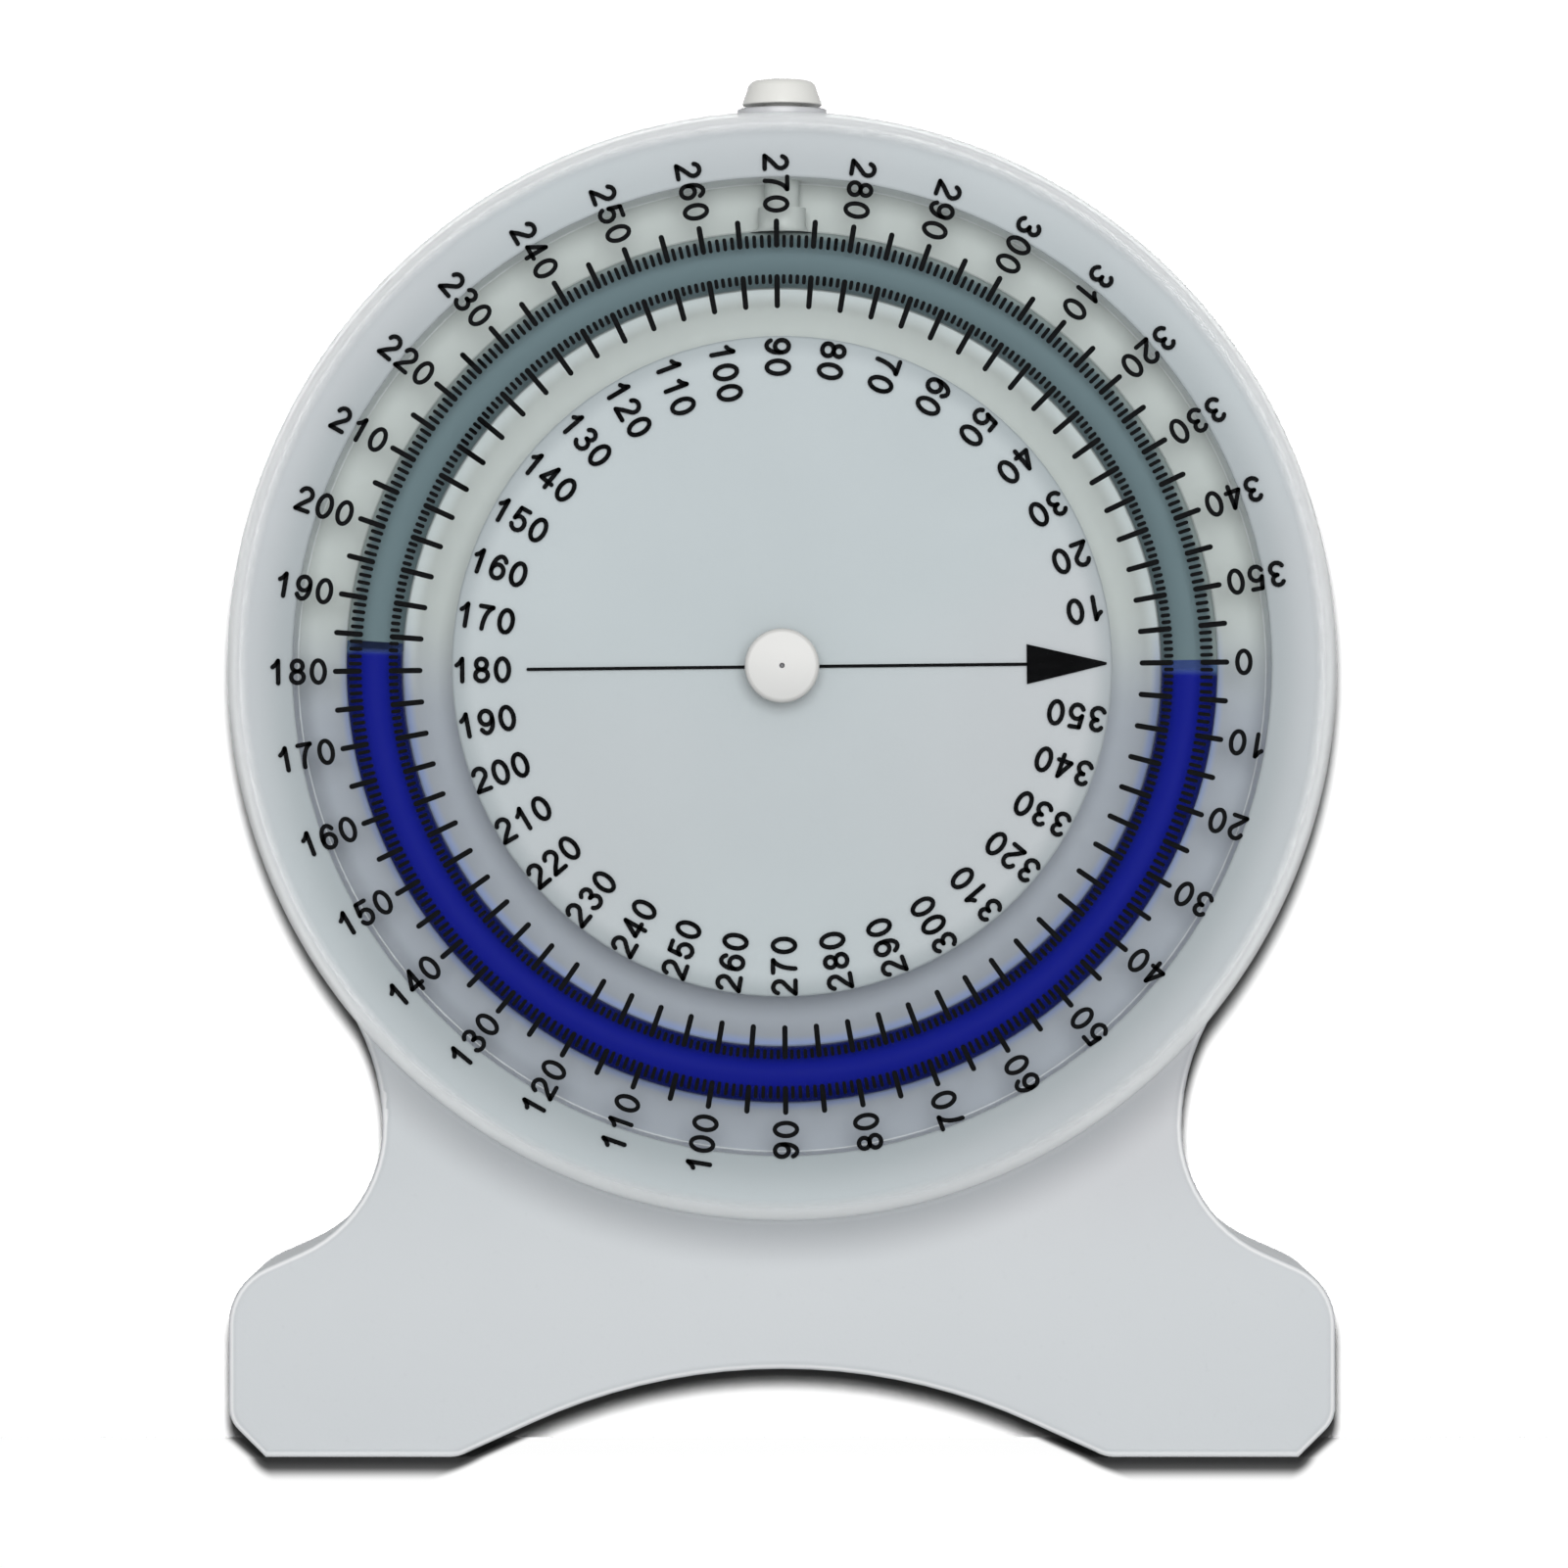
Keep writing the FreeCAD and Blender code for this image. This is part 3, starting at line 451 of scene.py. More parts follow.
class Nodes:
    """The node tree of a material or of the world, made from an empty one."""

    def __init__(self, owner):
        owner.use_nodes = True
        self.owner = owner
        self.tree = owner.node_tree
        self.tree.nodes.clear()

    def add(self, kind, settings=None, sockets=None):
        """Adds a node: its settings come first, then each socket's value or link."""
        made = self.tree.nodes.new(kind)
        for name, value in (settings or {}).items():
            setattr(made, name, value)
        for name, value in (sockets or {}).items():
            if isinstance(value, Shade):
                self.tree.links.new(value.socket, made.inputs[name])
            else:
                made.inputs[name].default_value = value
        return made

    def shade(self, kind, output, settings=None, sockets=None):
        """One output of a new node."""
        return Shade(self, self.add(kind, settings, sockets).outputs[output])

    def point(self):
        """A point's place on the object."""
        return self.shade("ShaderNodeTexCoord", "Object")

    def parts(self, point):
        """A point's x, y and z."""
        split = self.add("ShaderNodeSeparateXYZ", sockets={"Vector": point})
        return [Shade(self, split.outputs[axis]) for axis in "XYZ"]

    def from_axis(self, point):
        """A point's distance from the pivot's axis, the square root of x^2 + (z - axis)^2."""
        x, _, z = self.parts(point)
        height = z - DIAL_Z
        return (x * x + height * height) ** 0.5

    def from_ring(self, point):
        """How far out from the ring's middle a point is, as a share of the tube's radius."""
        return (self.from_axis(point) - RING_RADIUS) / TUBE_RADIUS

    def noise(self, point, scale, detail=2.0):
        """Even noise from 0 to 1, with so many grains to the metre."""
        return self.shade("ShaderNodeTexNoise", "Fac", None,
                          {"Vector": point, "Scale": scale, "Detail": detail})

    def mix(self, factor, first, second):
        """A blend of two colours, each a list of numbers or a link."""
        made = self.add("ShaderNodeMix", {"data_type": "RGBA"},
                        {MIX_FACTOR: factor, MIX_FIRST: first, MIX_SECOND: second})
        return Shade(self, made.outputs[MIX_RESULT])

    def bump(self, height, depth, strength, under=None):
        """A bump of a depth in metres, over another normal if one is given."""
        sockets = {"Strength": strength, "Distance": depth, "Height": height}
        if under:
            sockets["Normal"] = under
        return self.shade("ShaderNodeBump", "Normal", None, sockets)

    def clear(self, tint=(1.0, 1.0, 1.0, 1.0)):
        """A shader that lets the light through, tinted or not."""
        return self.shade("ShaderNodeBsdfTransparent", "BSDF", None, {"Color": tint})

    def diffuse(self, tint):
        """A plain matt shader."""
        return self.shade("ShaderNodeBsdfDiffuse", "BSDF", None, {"Color": tint})

    def principled(self, **sockets):
        """A Principled shader with its sockets named in small letters."""
        named = {name.replace("_", " ").title().replace("Ior", "IOR"): value
                 for name, value in sockets.items()}
        return self.shade("ShaderNodeBsdfPrincipled", "BSDF", None, named)

    def blend(self, factor, first, second):
        """A Mix Shader of two shaders."""
        return self.shade("ShaderNodeMixShader", "Shader", None, {0: factor, 1: first, 2: second})

    def finish(self, shader, kind="ShaderNodeOutputMaterial"):
        """Links a shader to the output and gives back the owner."""
        self.add(kind, None, {"Surface": shader})
        return self.owner


def new_finish(name):
    """The nodes of a new material."""
    return Nodes(bpy.data.materials.new(name))


# Finishes


def stand_finish():
    """Pale moulded plastic with a fine satin grain, with highlights and shade painted on it, and a
    blue tint painted in the recess for the tube's blue light.
    """
    nodes = new_finish("pale_satin_plastic")
    point = nodes.point()
    x, y, z = nodes.parts(point)
    radius = nodes.from_axis(point)
    outwards = nodes.from_ring(point)
    below = DIAL_Z - z
    low = below.step(*LOWER_HALF)

    # the face and the sides: the plain colour, lighter on the feet, then the highlights and shades
    # painted over it
    drift = nodes.noise(point, scale=16.0, detail=1.0)
    face = nodes.mix(drift.step(*DRIFT_BAND), FACE_COOL, FACE_WARM)
    face = nodes.mix(z.step(*FEET_PALE), face, FEET_LIGHT)
    # painted highlight along the front edges, stronger lower down
    on_edge = (y.step(FACE_Y + EDGE_LINE_START, FACE_Y + EDGE_LINE_PEAK)
               * (FACE_Y + EDGE_LINE_END - y).step(0, EDGE_LINE_END - EDGE_LINE_PEAK))
    face = nodes.mix(on_edge * below.step(*LOW_ON_EDGE).between(0.35, 1.0), face, PAINTED_EDGE_HIGHLIGHT)
    # painted highlight on the soles' lower edges
    face = nodes.mix(z.step(*SOLE_LINE).between(0, 0.9), face, PAINTED_SOLE_HIGHLIGHT)
    # painted shade on the face next to the recess's rims, weaker at the top
    recess_edge_shade = (radius.step(RECESS_OUTER + OUTER_EDGE_SHADE_REACH, RECESS_OUTER)
              * radius.step(RECESS_INNER, RECESS_OUTER)
              + radius.step(RECESS_INNER - INNER_EDGE_SHADE_REACH, RECESS_INNER)
              * radius.step(RECESS_OUTER, RECESS_INNER))
    face = nodes.mix(recess_edge_shade * below.step(*OFF_TOP).between(0.3, 0.65), face, PAINTED_RECESS_EDGE_SHADE)
    # painted shade on the stand just below the dial's rim
    rim_shade = (radius.step(DIAL_RADIUS + RIM_SHADE_REACH, DIAL_RADIUS)
                 * below.step(*BELOW_DIAL)
                 * (radius - DIAL_RADIUS).step(*PAST_RIM))
    face = nodes.mix(rim_shade.between(0, 0.9), face, RIM_SHADE)

    # the recess: painted light above and painted shade, tinted blue, below, with painted highlights,
    # glow and corner shade
    floor = nodes.mix(low, RECESS_PAINTED_LIGHT, RECESS_PAINTED_SHADE)
    # painted highlight along the tube's inner edge in the upper half
    painted_gleam = (1 - low) * outwards.step(*GLEAM_START) * outwards.step(*GLEAM_END)
    floor = nodes.mix(painted_gleam, floor, RECESS_PAINTED_GLEAM)
    # painted blue glow beside the tube in the lower half, for light tinted by the liquid
    glow = low * abs(outwards).step(*TUBE_GLOW)
    floor = nodes.mix(glow.between(0, 0.8), floor, PAINTED_BLUE_GLOW)
    # painted shade in the recess's outer corner, low and to the left
    corner_shade = (radius - RECESS_OUTER).step(*IN_CORNER) * low * (x + below).step(*CORNER_ASIDE)
    floor = nodes.mix(corner_shade.between(0, 0.4), floor, PAINTED_CORNER_SHADE)
    # painted light on the recess's outer and inner walls
    wall = ((radius - RECESS_OUTER).step(*AT_OUTER_WALL)
            + (radius - RECESS_INNER).step(*AT_INNER_WALL).between(0, 0.8))
    floor = nodes.mix(wall, floor, PAINTED_WALL_LIGHT)

    in_recess = (y.step(FACE_Y + RECESS_LIP / 2, FACE_Y + RECESS_LIP)
                 * (RECESS_OUTER + RECESS_LIP - radius).step(0, RECESS_LIP)
                 * (radius - RECESS_INNER + RECESS_LIP).step(0, RECESS_LIP))
    base = nodes.mix(in_recess, face, floor)
    fleck = nodes.noise(point, scale=1500.0, detail=3.0).step(*FLECK_BAND)
    base = nodes.mix(fleck.between(0, 0.12), base, FLECK_GREY)
    grain = nodes.noise(point, scale=2600.0, detail=3.0)
    softer = z.step(*EDGE_SOFTER).between(SOFT_EDGE_AT_FEET, SOFT_EDGE)
    soft = nodes.shade("ShaderNodeBevel", "Normal", {"samples": 6}, {"Radius": softer})
    return nodes.finish(nodes.principled(
        base_color=base,
        roughness=nodes.noise(point, scale=60.0).between(0.42, 0.56),
        specular_ior_level=0.35,
        normal=nodes.bump(grain, SATIN_DEPTH, strength=0.35, under=soft)))


def cover_finish():
    """The same plastic with a coarser spark-eroded texture."""
    nodes = new_finish("textured_plastic")
    point = nodes.point()
    grain = nodes.noise(point, scale=1400.0, detail=4.0)
    cloud = nodes.noise(point, scale=45.0)
    return nodes.finish(nodes.principled(
        base_color=nodes.mix(cloud * 0.6 + grain * 0.4, COVER_DARK, COVER_LIGHT),
        roughness=grain.between(0.55, 0.7),
        specular_ior_level=0.4,
        normal=nodes.bump(grain, TEXTURE_DEPTH, strength=0.6)))


def metal_finish(name, base, shine, scale, turned=False):
    """Metal with tool marks: rings round the pivot where it is turned, and else a fine grain."""
    nodes = new_finish(name)
    point = nodes.point()
    cloud = nodes.noise(point, scale=300.0)
    if turned:
        along = nodes.parts(point)[1]
        marks = ((nodes.from_axis(point) + along) * scale + cloud).wave()
    else:
        marks = nodes.noise(point, scale=scale, detail=4.0)
    dark = colour(*(MARK_SHADE * part for part in base))
    return nodes.finish(nodes.principled(
        base_color=nodes.mix(marks, dark, colour(*base)),
        metallic=1.0,
        roughness=cloud.between(shine, shine + 0.12),
        normal=nodes.bump(marks, TOOL_MARK_DEPTH, strength=0.4)))


def moulded_finish(name, base, shade, shine, gloss=0.5):
    """Moulded plastic or rubber with a soft cloudiness and a fine grain."""
    nodes = new_finish(name)
    point = nodes.point()
    cloud = nodes.noise(point, scale=220.0, detail=3.0)
    grain = nodes.noise(point, scale=3200.0, detail=3.0)
    return nodes.finish(nodes.principled(
        base_color=nodes.mix(cloud, colour(*shade), colour(*base)),
        roughness=cloud.between(shine, shine + 0.12),
        specular_ior_level=gloss,
        normal=nodes.bump(grain, MOULD_DEPTH, strength=0.3)))


def knob_finish():
    """White moulded plastic, with shade painted on its lower part and in the dimple left by its gate.
    """
    nodes = new_finish("white_satin_plastic")
    point = nodes.point()
    z = nodes.parts(point)[2]
    cloud = nodes.noise(point, scale=220.0, detail=3.0)
    grain = nodes.noise(point, scale=3200.0, detail=3.0)
    white = nodes.mix(cloud, KNOB_CLOUD, KNOB_WHITE)
    # painted shade, darker towards the knob's bottom
    white = nodes.mix((DIAL_Z - z).step(*LOW_ON_KNOB), white, KNOB_PAINTED_SHADE)
    # painted shade in the dimple
    around = nodes.from_axis(point).step(*AROUND_DIMPLE)
    return nodes.finish(nodes.principled(
        base_color=nodes.mix(around, DIMPLE_PAINTED_SHADE, white),
        roughness=cloud.between(0.32, 0.42),
        specular_ior_level=0.4,
        normal=nodes.bump(grain, MOULD_DEPTH, strength=0.3)))


def ink_finish():
    """Black screen-printed ink, with the faint mesh of its screen in the gloss."""
    nodes = new_finish("black_ink")
    mottle = nodes.noise(nodes.point(), scale=2400.0)
    return nodes.finish(nodes.principled(
        base_color=nodes.mix(mottle, INK_BLACK, INK_MOTTLE),
        roughness=mottle.between(0.5, 0.7),
        specular_ior_level=0.05))


def dial_finish():
    """Clear polished plastic that darkens what is behind it a little, with a pale rim painted for the
    light that gathers in its edge.
    """
    nodes = new_finish("clear_dial_plastic")
    point = nodes.point()
    past_rim = nodes.from_axis(point) - DIAL_RADIUS
    cloud = nodes.noise(point, scale=90.0)
    glint = nodes.shade("ShaderNodeLayerWeight", "Fresnel", None, {"Blend": 0.12})
    body = nodes.principled(
        base_color=nodes.mix(past_rim.step(*RIM_PALE), DIAL_GLINT, DIAL_RIM),
        roughness=cloud.between(0.06, 0.11),
        specular_ior_level=0.5)
    cover = past_rim.step(*RIM_GLOW).between(0, 0.42).at_least(glint.between(0, 0.3))
    return nodes.finish(nodes.blend(cover, nodes.clear(DIAL_CLEAR), body))


def tube_finish():
    """Clear tube: all but unseen in its middle, pale at its edges, and milky where the port is."""
    nodes = new_finish("clear_tube_plastic")
    point = nodes.point()
    streak = nodes.noise(point, scale=160.0)
    port = nodes.shade("ShaderNodeAttribute", "Fac", {"attribute_name": "port"})
    body = nodes.principled(
        base_color=nodes.mix(port, TUBE_PALE, PORT_MILKY),
        roughness=streak.between(0.3, 0.4),
        specular_ior_level=0.2)
    edge = abs(nodes.from_ring(point)).step(*TUBE_EDGE)
    return nodes.finish(nodes.blend(edge.between(0.004, 0.124).at_least(port), nodes.clear(), body))


def air_finish():
    """Empty bore: painted shade along its middle and painted light at its outer edge, as the wall
    shows it.
    """
    nodes = new_finish("air_in_tube")
    point = nodes.point()
    streak = nodes.noise(point, scale=200.0)
    body = nodes.principled(
        base_color=nodes.mix(nodes.from_ring(point).step(*OUTER_BORE), AIR_DIM, AIR_PALE),
        roughness=streak.between(0.45, 0.55),
        specular_ior_level=0.05)
    return nodes.finish(nodes.blend(AIR_COVER, nodes.clear(), body))


def stem_finish():
    """The milky plastic of the filler's stem."""
    nodes = new_finish("milky_stem_plastic")
    streak = nodes.noise(nodes.point(), scale=400.0)
    return nodes.finish(nodes.principled(
        base_color=nodes.mix(streak, STEM_DARK, STEM_LIGHT),
        roughness=streak.between(0.4, 0.5),
        specular_ior_level=0.2))


def liquid_finish():
    """Deep blue dye: darker towards the wall, and thin and pale where it climbs the wall."""
    nodes = new_finish("deep_blue_liquid")
    point = nodes.point()
    x = nodes.parts(point)[0]
    outwards = nodes.from_ring(point)
    rise = nodes.shade("ShaderNodeAttribute", "Fac", {"attribute_name": "rise"})
    cloud = nodes.noise(point, scale=500.0)
    wall = abs(outwards).step(*BY_THE_WALL)
    thin = rise.step(*CLIMB_THINS)
    deep = nodes.mix(wall, LIQUID_DEEP, LIQUID_DARK)
    film = nodes.mix(outwards.step(*OUTER_BORE), FILM_BLUE, FILM_PALE)
    body = nodes.principled(
        base_color=nodes.mix(thin, deep, film),
        roughness=cloud.between(0.4, 0.5),
        specular_ior_level=0.02)
    clearness = x.step(*LEFT_SIDE).between(0.62, 0.92) - wall.between(0, 0.3)
    return nodes.finish(nodes.blend(1 - thin * clearness, nodes.clear(), body))


# Pieces of the dial


def clear_dial(finish):
    """The disc: its section has a rounded front rim and a fine back edge."""
    rim = bow(DIAL_RADIUS - DISC_ROUND, DISC_FRONT + DISC_ROUND, DISC_ROUND, -DISC_ROUND, 90, 0,
              RIM_STEPS)
    profile = np.concatenate([
        [(PIN_RADIUS, DISC_FRONT)],
        rim,
        [(DIAL_RADIUS, DISC_BACK - DISC_BACK_EDGE)],
        [(DIAL_RADIUS - DISC_BACK_EDGE, DISC_BACK)],
        [(PIN_RADIUS, DISC_BACK)],
    ])
    shell = lathe(profile, DIAL_TURN, closed=True)
    piece("clear_dial", [shell], finish, "dial", ["dial_disc"])


def turning_knob(finish):
    """The pivot's moulded head, with a dimple, and its shank with the clip's groove."""
    crown = bow(HEAD_RADIUS - HEAD_ROUND, PIN_FRONT + HEAD_ROUND, HEAD_ROUND, -HEAD_ROUND, 90, 0,
                ROUND_STEPS)
    dimple = bow(0, PIN_FRONT, DIMPLE_RADIUS, DIMPLE_DEPTH, 90, 0, SMALL_ROUND_STEPS)
    groove_back = PIN_BACK - PIN_TAIL
    groove_front = groove_back - GROOVE_WIDTH
    profile = np.concatenate([
        dimple,
        crown,
        [(HEAD_RADIUS, DISC_FRONT)],
        [(PIN_RADIUS, DISC_FRONT)],
        [(PIN_RADIUS, groove_front)],
        [(GROOVE_RADIUS, groove_front)],
        [(GROOVE_RADIUS, groove_back)],
        [(PIN_RADIUS, groove_back)],
        [(PIN_RADIUS, PIN_BACK - TAIL_CHAMFER)],
        [(PIN_RADIUS - TAIL_CHAMFER, PIN_BACK)],
        [(0, PIN_BACK)],
    ])
    piece("turning_knob", [lathe(profile, SMALL_TURN)], finish, "dial", ["pivot_pin"])


def stroke(path, width, closed=False):
    """A line of ink along a path on a flat sheet, as a shell of points (along, up, depth).

    The section is a rectangle. Its half width h is across the path's own direction, and an open
    end is round: past the end by h sin a, the half width is h cos a.
    """
    half = width / 2
    if closed:
        ahead = np.roll(path, -1, axis=0) - np.roll(path, 1, axis=0)
    else:
        ahead = np.gradient(path, axis=0)
    ahead = ahead / np.linalg.norm(ahead, axis=1, keepdims=True)
    halves = np.full(len(path), half)
    if not closed:
        lean = np.radians(ROUND_END)
        start = path[0] - ahead[0] * (half * np.sin(lean))[:, None]
        end = path[-1] + ahead[-1] * (half * np.sin(lean[::-1]))[:, None]
        path = np.concatenate([start, path, end])
        ahead = np.concatenate([[ahead[0]] * len(lean), ahead, [ahead[-1]] * len(lean)])
        halves = np.concatenate([half * np.cos(lean), halves, half * np.cos(lean[::-1])])
    side = np.stack([-ahead[:, 1], ahead[:, 0]], axis=1) * halves[:, None]
    edges = []
    for sign, depth in ((1, 0), (-1, 0), (-1, 1), (1, 1)):
        flat = path + sign * side
        edges.append(np.column_stack([flat, np.full(len(flat), depth * INK_THICKNESS)]))
    points = np.stack(edges, axis=1).reshape(-1, 3)
    return points, outward(points, grid_faces(len(path), len(edges), closed, True))


def loop(across, up, wide, high):
    """A whole ellipse, as a closed path."""
    return bow(across, up, wide, high, 0, FULL_TURN - FULL_TURN / LOOP_STEPS, LOOP_STEPS)


# Each digit's strokes in a box from -1 to 1 across and from 0 to 1 up, and whether each is closed
DIGITS = {
    "0": [(loop(0, 0.5, 1, 0.5), True)],
    "1": [(np.array([(0.25, 0), (0.25, 1)]), False),
          (np.array([(-0.6, 0.72), (-0.15, 0.82), (0.25, 1)]), False)],
    "2": [(np.concatenate([bow(0, 0.72, 0.92, 0.28, 165, -38, 12),
                           [(-0.35, 0.24), (-1, 0)]]), False),
          (np.array([(-1, 0), (1, 0)]), False)],
    "3": [(bow(-0.05, 0.77, 0.82, 0.23, 155, -90, 11), False),
          (bow(-0.05, 0.27, 0.98, 0.27, 90, -155, 12), False)],
    "4": [(np.array([(0.42, 0), (0.42, 1)]), False),
          (np.array([(0.42, 1), (-1, 0.27)]), False),
          (np.array([(-1, 0.27), (1, 0.27)]), False)],
    "5": [(np.array([(0.82, 1), (-0.62, 1)]), False),
          (np.array([(-0.62, 1), (-0.85, 0.48)]), False),
          (bow(-0.02, 0.32, 0.98, 0.32, 148, -155, 14), False)],
    "6": [(loop(0.02, 0.31, 0.94, 0.31), True),
          (bow(0.12, 0.44, 1.06, 0.56, 190, 42, 12), False)],
    "7": [(np.array([(-0.95, 1), (0.95, 1)]), False),
          (bow(1.25, 0.0, 1.6, 1.0, 101, 180, 9), False)],
    "8": [(loop(0, 0.76, 0.82, 0.24), True),
          (loop(0, 0.26, 0.96, 0.26), True)],
    "9": [(loop(-0.02, 0.69, 0.94, 0.31), True),
          (bow(-0.12, 0.56, 1.06, 0.56, 10, -138, 12), False)],
}


def digit_shells(digit):
    """A digit's strokes at its real size, from its own left and its foot."""
    half = (DIGIT_WIDTH - DIGIT_STROKE) / 2
    high = DIGIT_HEIGHT - DIGIT_STROKE
    shells = []
    for path, closed in DIGITS[digit]:
        sized = path * (half, high) + (DIGIT_ADVANCE / 2, DIGIT_STROKE / 2)
        shells.append(stroke(sized, DIGIT_STROKE, closed))
    return shells


def on_dial(points, angle, start):
    """Puts flat points (along, up, depth) on the disc's back, reading towards the dial's centre.

    A point is at radius start - along on the line at the angle, and up from it on the left of
    the reader, who looks in along that line.
    """
    turn = math.radians(angle + PRINT_TURN)
    radius = start - points[:, 0]
    up = points[:, 1]
    return np.stack([radius * math.cos(turn) + up * math.sin(turn) - PRINT_LEFT,
                     DISC_BACK + points[:, 2],
                     DIAL_Z + radius * math.sin(turn) - up * math.cos(turn) - PRINT_DOWN], axis=1)


def ink_on_dial(shell, angle, start):
    """A flat shell put in its place on the disc, with its faces outward.

    They are turned about the shell's own middle, because its volume is tiny for its distance.
    """
    flat, faces = shell
    points = on_dial(flat, angle, start)
    return points, outward(points - points.mean(axis=0), faces)


def scale_numbers(finish):
    """Numbers at every ten degrees: clockwise outside the tube, anticlockwise inside it."""
    drawn = {digit: digit_shells(digit) for digit in DIGITS}
    shells = []
    for value in range(0, FULL_TURN, LABEL_EVERY):
        text = str(value)
        labels = [(-value, OUTER_LABEL_END + len(text) * DIGIT_ADVANCE)]
        if value:
            labels.append((value, INNER_LABEL_START))
        for angle, start in labels:
            for place, digit in enumerate(text):
                for flat, faces in drawn[digit]:
                    moved = flat + (place * DIGIT_ADVANCE, -DIGIT_HEIGHT / 2, 0)
                    shells.append(ink_on_dial((moved, faces), angle, start))
    piece("scale_numbers", shells, finish, "dial", crease=INK_CREASE)


def scale_ticks(finish):
    """A mark at every degree on both rings, longer and bolder at every fifth."""
    shells = []
    for value in range(FULL_TURN):
        bold = value % BOLD_EVERY == 0
        width = BOLD_TICK if bold else FINE_TICK
        for near, short, long in (OUTER_TICKS, INNER_TICKS):
            low, high = sorted((near, long if bold else short))
            path = np.array([(-high + width / 2, 0), (-low - width / 2, 0)])
            shells.append(ink_on_dial(stroke(path, width), value, 0))
    piece("scale_ticks", shells, finish, "dial", crease=INK_CREASE)


def scale_pointer(finish):
    """The line across the dial and the arrowhead at its right end."""
    line = stroke(np.array([(-ARROW_BASE, 0), (LINE_LEFT_END, 0)]), LINE_WIDTH)
    rows = []
    for reach, half in ((ARROW_TIP, TIP_HALF_WIDTH), (ARROW_BASE, ARROW_HALF_WIDTH)):
        rows.append([(-reach, half, 0), (-reach, -half, 0),
                     (-reach, -half, INK_THICKNESS), (-reach, half, INK_THICKNESS)])
    points = np.array(rows).reshape(-1, 3)
    faces = np.concatenate([grid_faces(len(rows), 4, False, True), [[3, 2, 1, 0], [4, 5, 6, 7]]])
    shells = [ink_on_dial(shell, 0, 0) for shell in (line, (points, faces))]
    piece("scale_pointer", shells, finish, "dial", crease=INK_CREASE)


# Pieces of the tube


def ring_shell(angles, sections, turns, closed=False, hollow=False):
    """A round section carried along the ring.

    The point at angle a along the ring and angle b round a section of radius s is
    ((R + s cos b) cos a, tube's plane + s sin b, axis + (R + s cos b) sin a).
    """
    around = np.linspace(0, 2 * np.pi, turns, endpoint=False)[None, :]
    angle = angles[:, None]
    section = sections[:, None]
    radius = RING_RADIUS + section * np.cos(around)
    points = np.stack([radius * np.cos(angle),
                       TUBE_Y + section * np.sin(around),
                       DIAL_Z + radius * np.sin(angle)], axis=-1).reshape(-1, 3)
    return points, outward(points, grid_faces(len(angles), turns, closed, True), hollow)


def whole_ring(section, hollow=False):
    """A whole ring with a section of one radius."""
    angles = np.linspace(0, 2 * np.pi, RING_TURN, endpoint=False)
    return ring_shell(angles, np.full(RING_TURN, section), TUBE_TURN, True, hollow)


def ring_tube(finish):
    """The clear tube, with the port that flares from its top.

    The port's foot stops at the middle of the tube's wall, whose top over a point x, v is
    axis + ((R + (s^2 - v^2)^1/2)^2 - x^2)^1/2, with v measured from the tube's plane.
    """
    foot = DIAL_Z + RING_RADIUS + TUBE_RADIUS - PORT_SINK
    flare = bow(PORT_RADIUS + PORT_FLARE, foot + PORT_FLARE, PORT_FLARE, PORT_FLARE, 270, 180,
                ROUND_STEPS)
    profile = np.concatenate([
        [(PLUG_SHANK_RADIUS, foot)],
        flare,
        [(PORT_RADIUS, PORT_TOP)],
        [(PLUG_SHANK_RADIUS, PORT_TOP)],
    ])
    port, port_faces = lathe(profile, SMALL_TURN, upright=True, closed=True)
    section = TUBE_RADIUS - TUBE_WALL / 2
    aside = np.minimum(np.abs(port[:, 1] - TUBE_Y), section)
    wall_top = np.sqrt((RING_RADIUS + np.sqrt(section ** 2 - aside ** 2)) ** 2 - port[:, 0] ** 2)
    port[:, 2] = np.maximum(port[:, 2], DIAL_Z + wall_top)
    shells = [whole_ring(TUBE_RADIUS), whole_ring(TUBE_RADIUS - TUBE_WALL, hollow=True)]
    on_port = np.concatenate([np.zeros(sum(len(points) for points, faces in shells)),
                              np.ones(len(port))])
    piece("ring_tube", [*shells, (port, port_faces)], finish, "housing",
          ["fluid_tube"], marks={"port": on_port})


def blue_liquid(finish):
    """The liquid, hollow at both ends: there its angle is the middle's plus the climb times s^2.

    The share s of the column's radius goes from 0 to 1 over the end, and stays 1 along the wall.
    """
    share = np.linspace(0, 1, END_STEPS)
    near = np.linspace(0, 1, CLIMB_STEPS)[1:]
    body = np.linspace(LEFT_END, RIGHT_END, LIQUID_STEPS)[1:-1]
    angles = np.concatenate([
        LEFT_END + (LEFT_EDGE - LEFT_END) * share ** 2,
        LEFT_EDGE + (LEFT_END - LEFT_EDGE) * near,
        body,
        RIGHT_EDGE + (RIGHT_END - RIGHT_EDGE) * near[::-1],
        RIGHT_END + (RIGHT_EDGE - RIGHT_END) * share[::-1] ** 2,
    ])
    shares = np.concatenate([share, np.ones(2 * len(near) + len(body)), share[::-1]])
    rise = np.concatenate([share ** 2, 1 - near, 0 * body, 1 - near[::-1], share[::-1] ** 2])
    piece("blue_liquid", [ring_shell(angles, COLUMN_RADIUS * shares, BORE_TURN)], finish, "liquid",
          ["liquid_column"], marks={"rise": np.repeat(rise, BORE_TURN)})


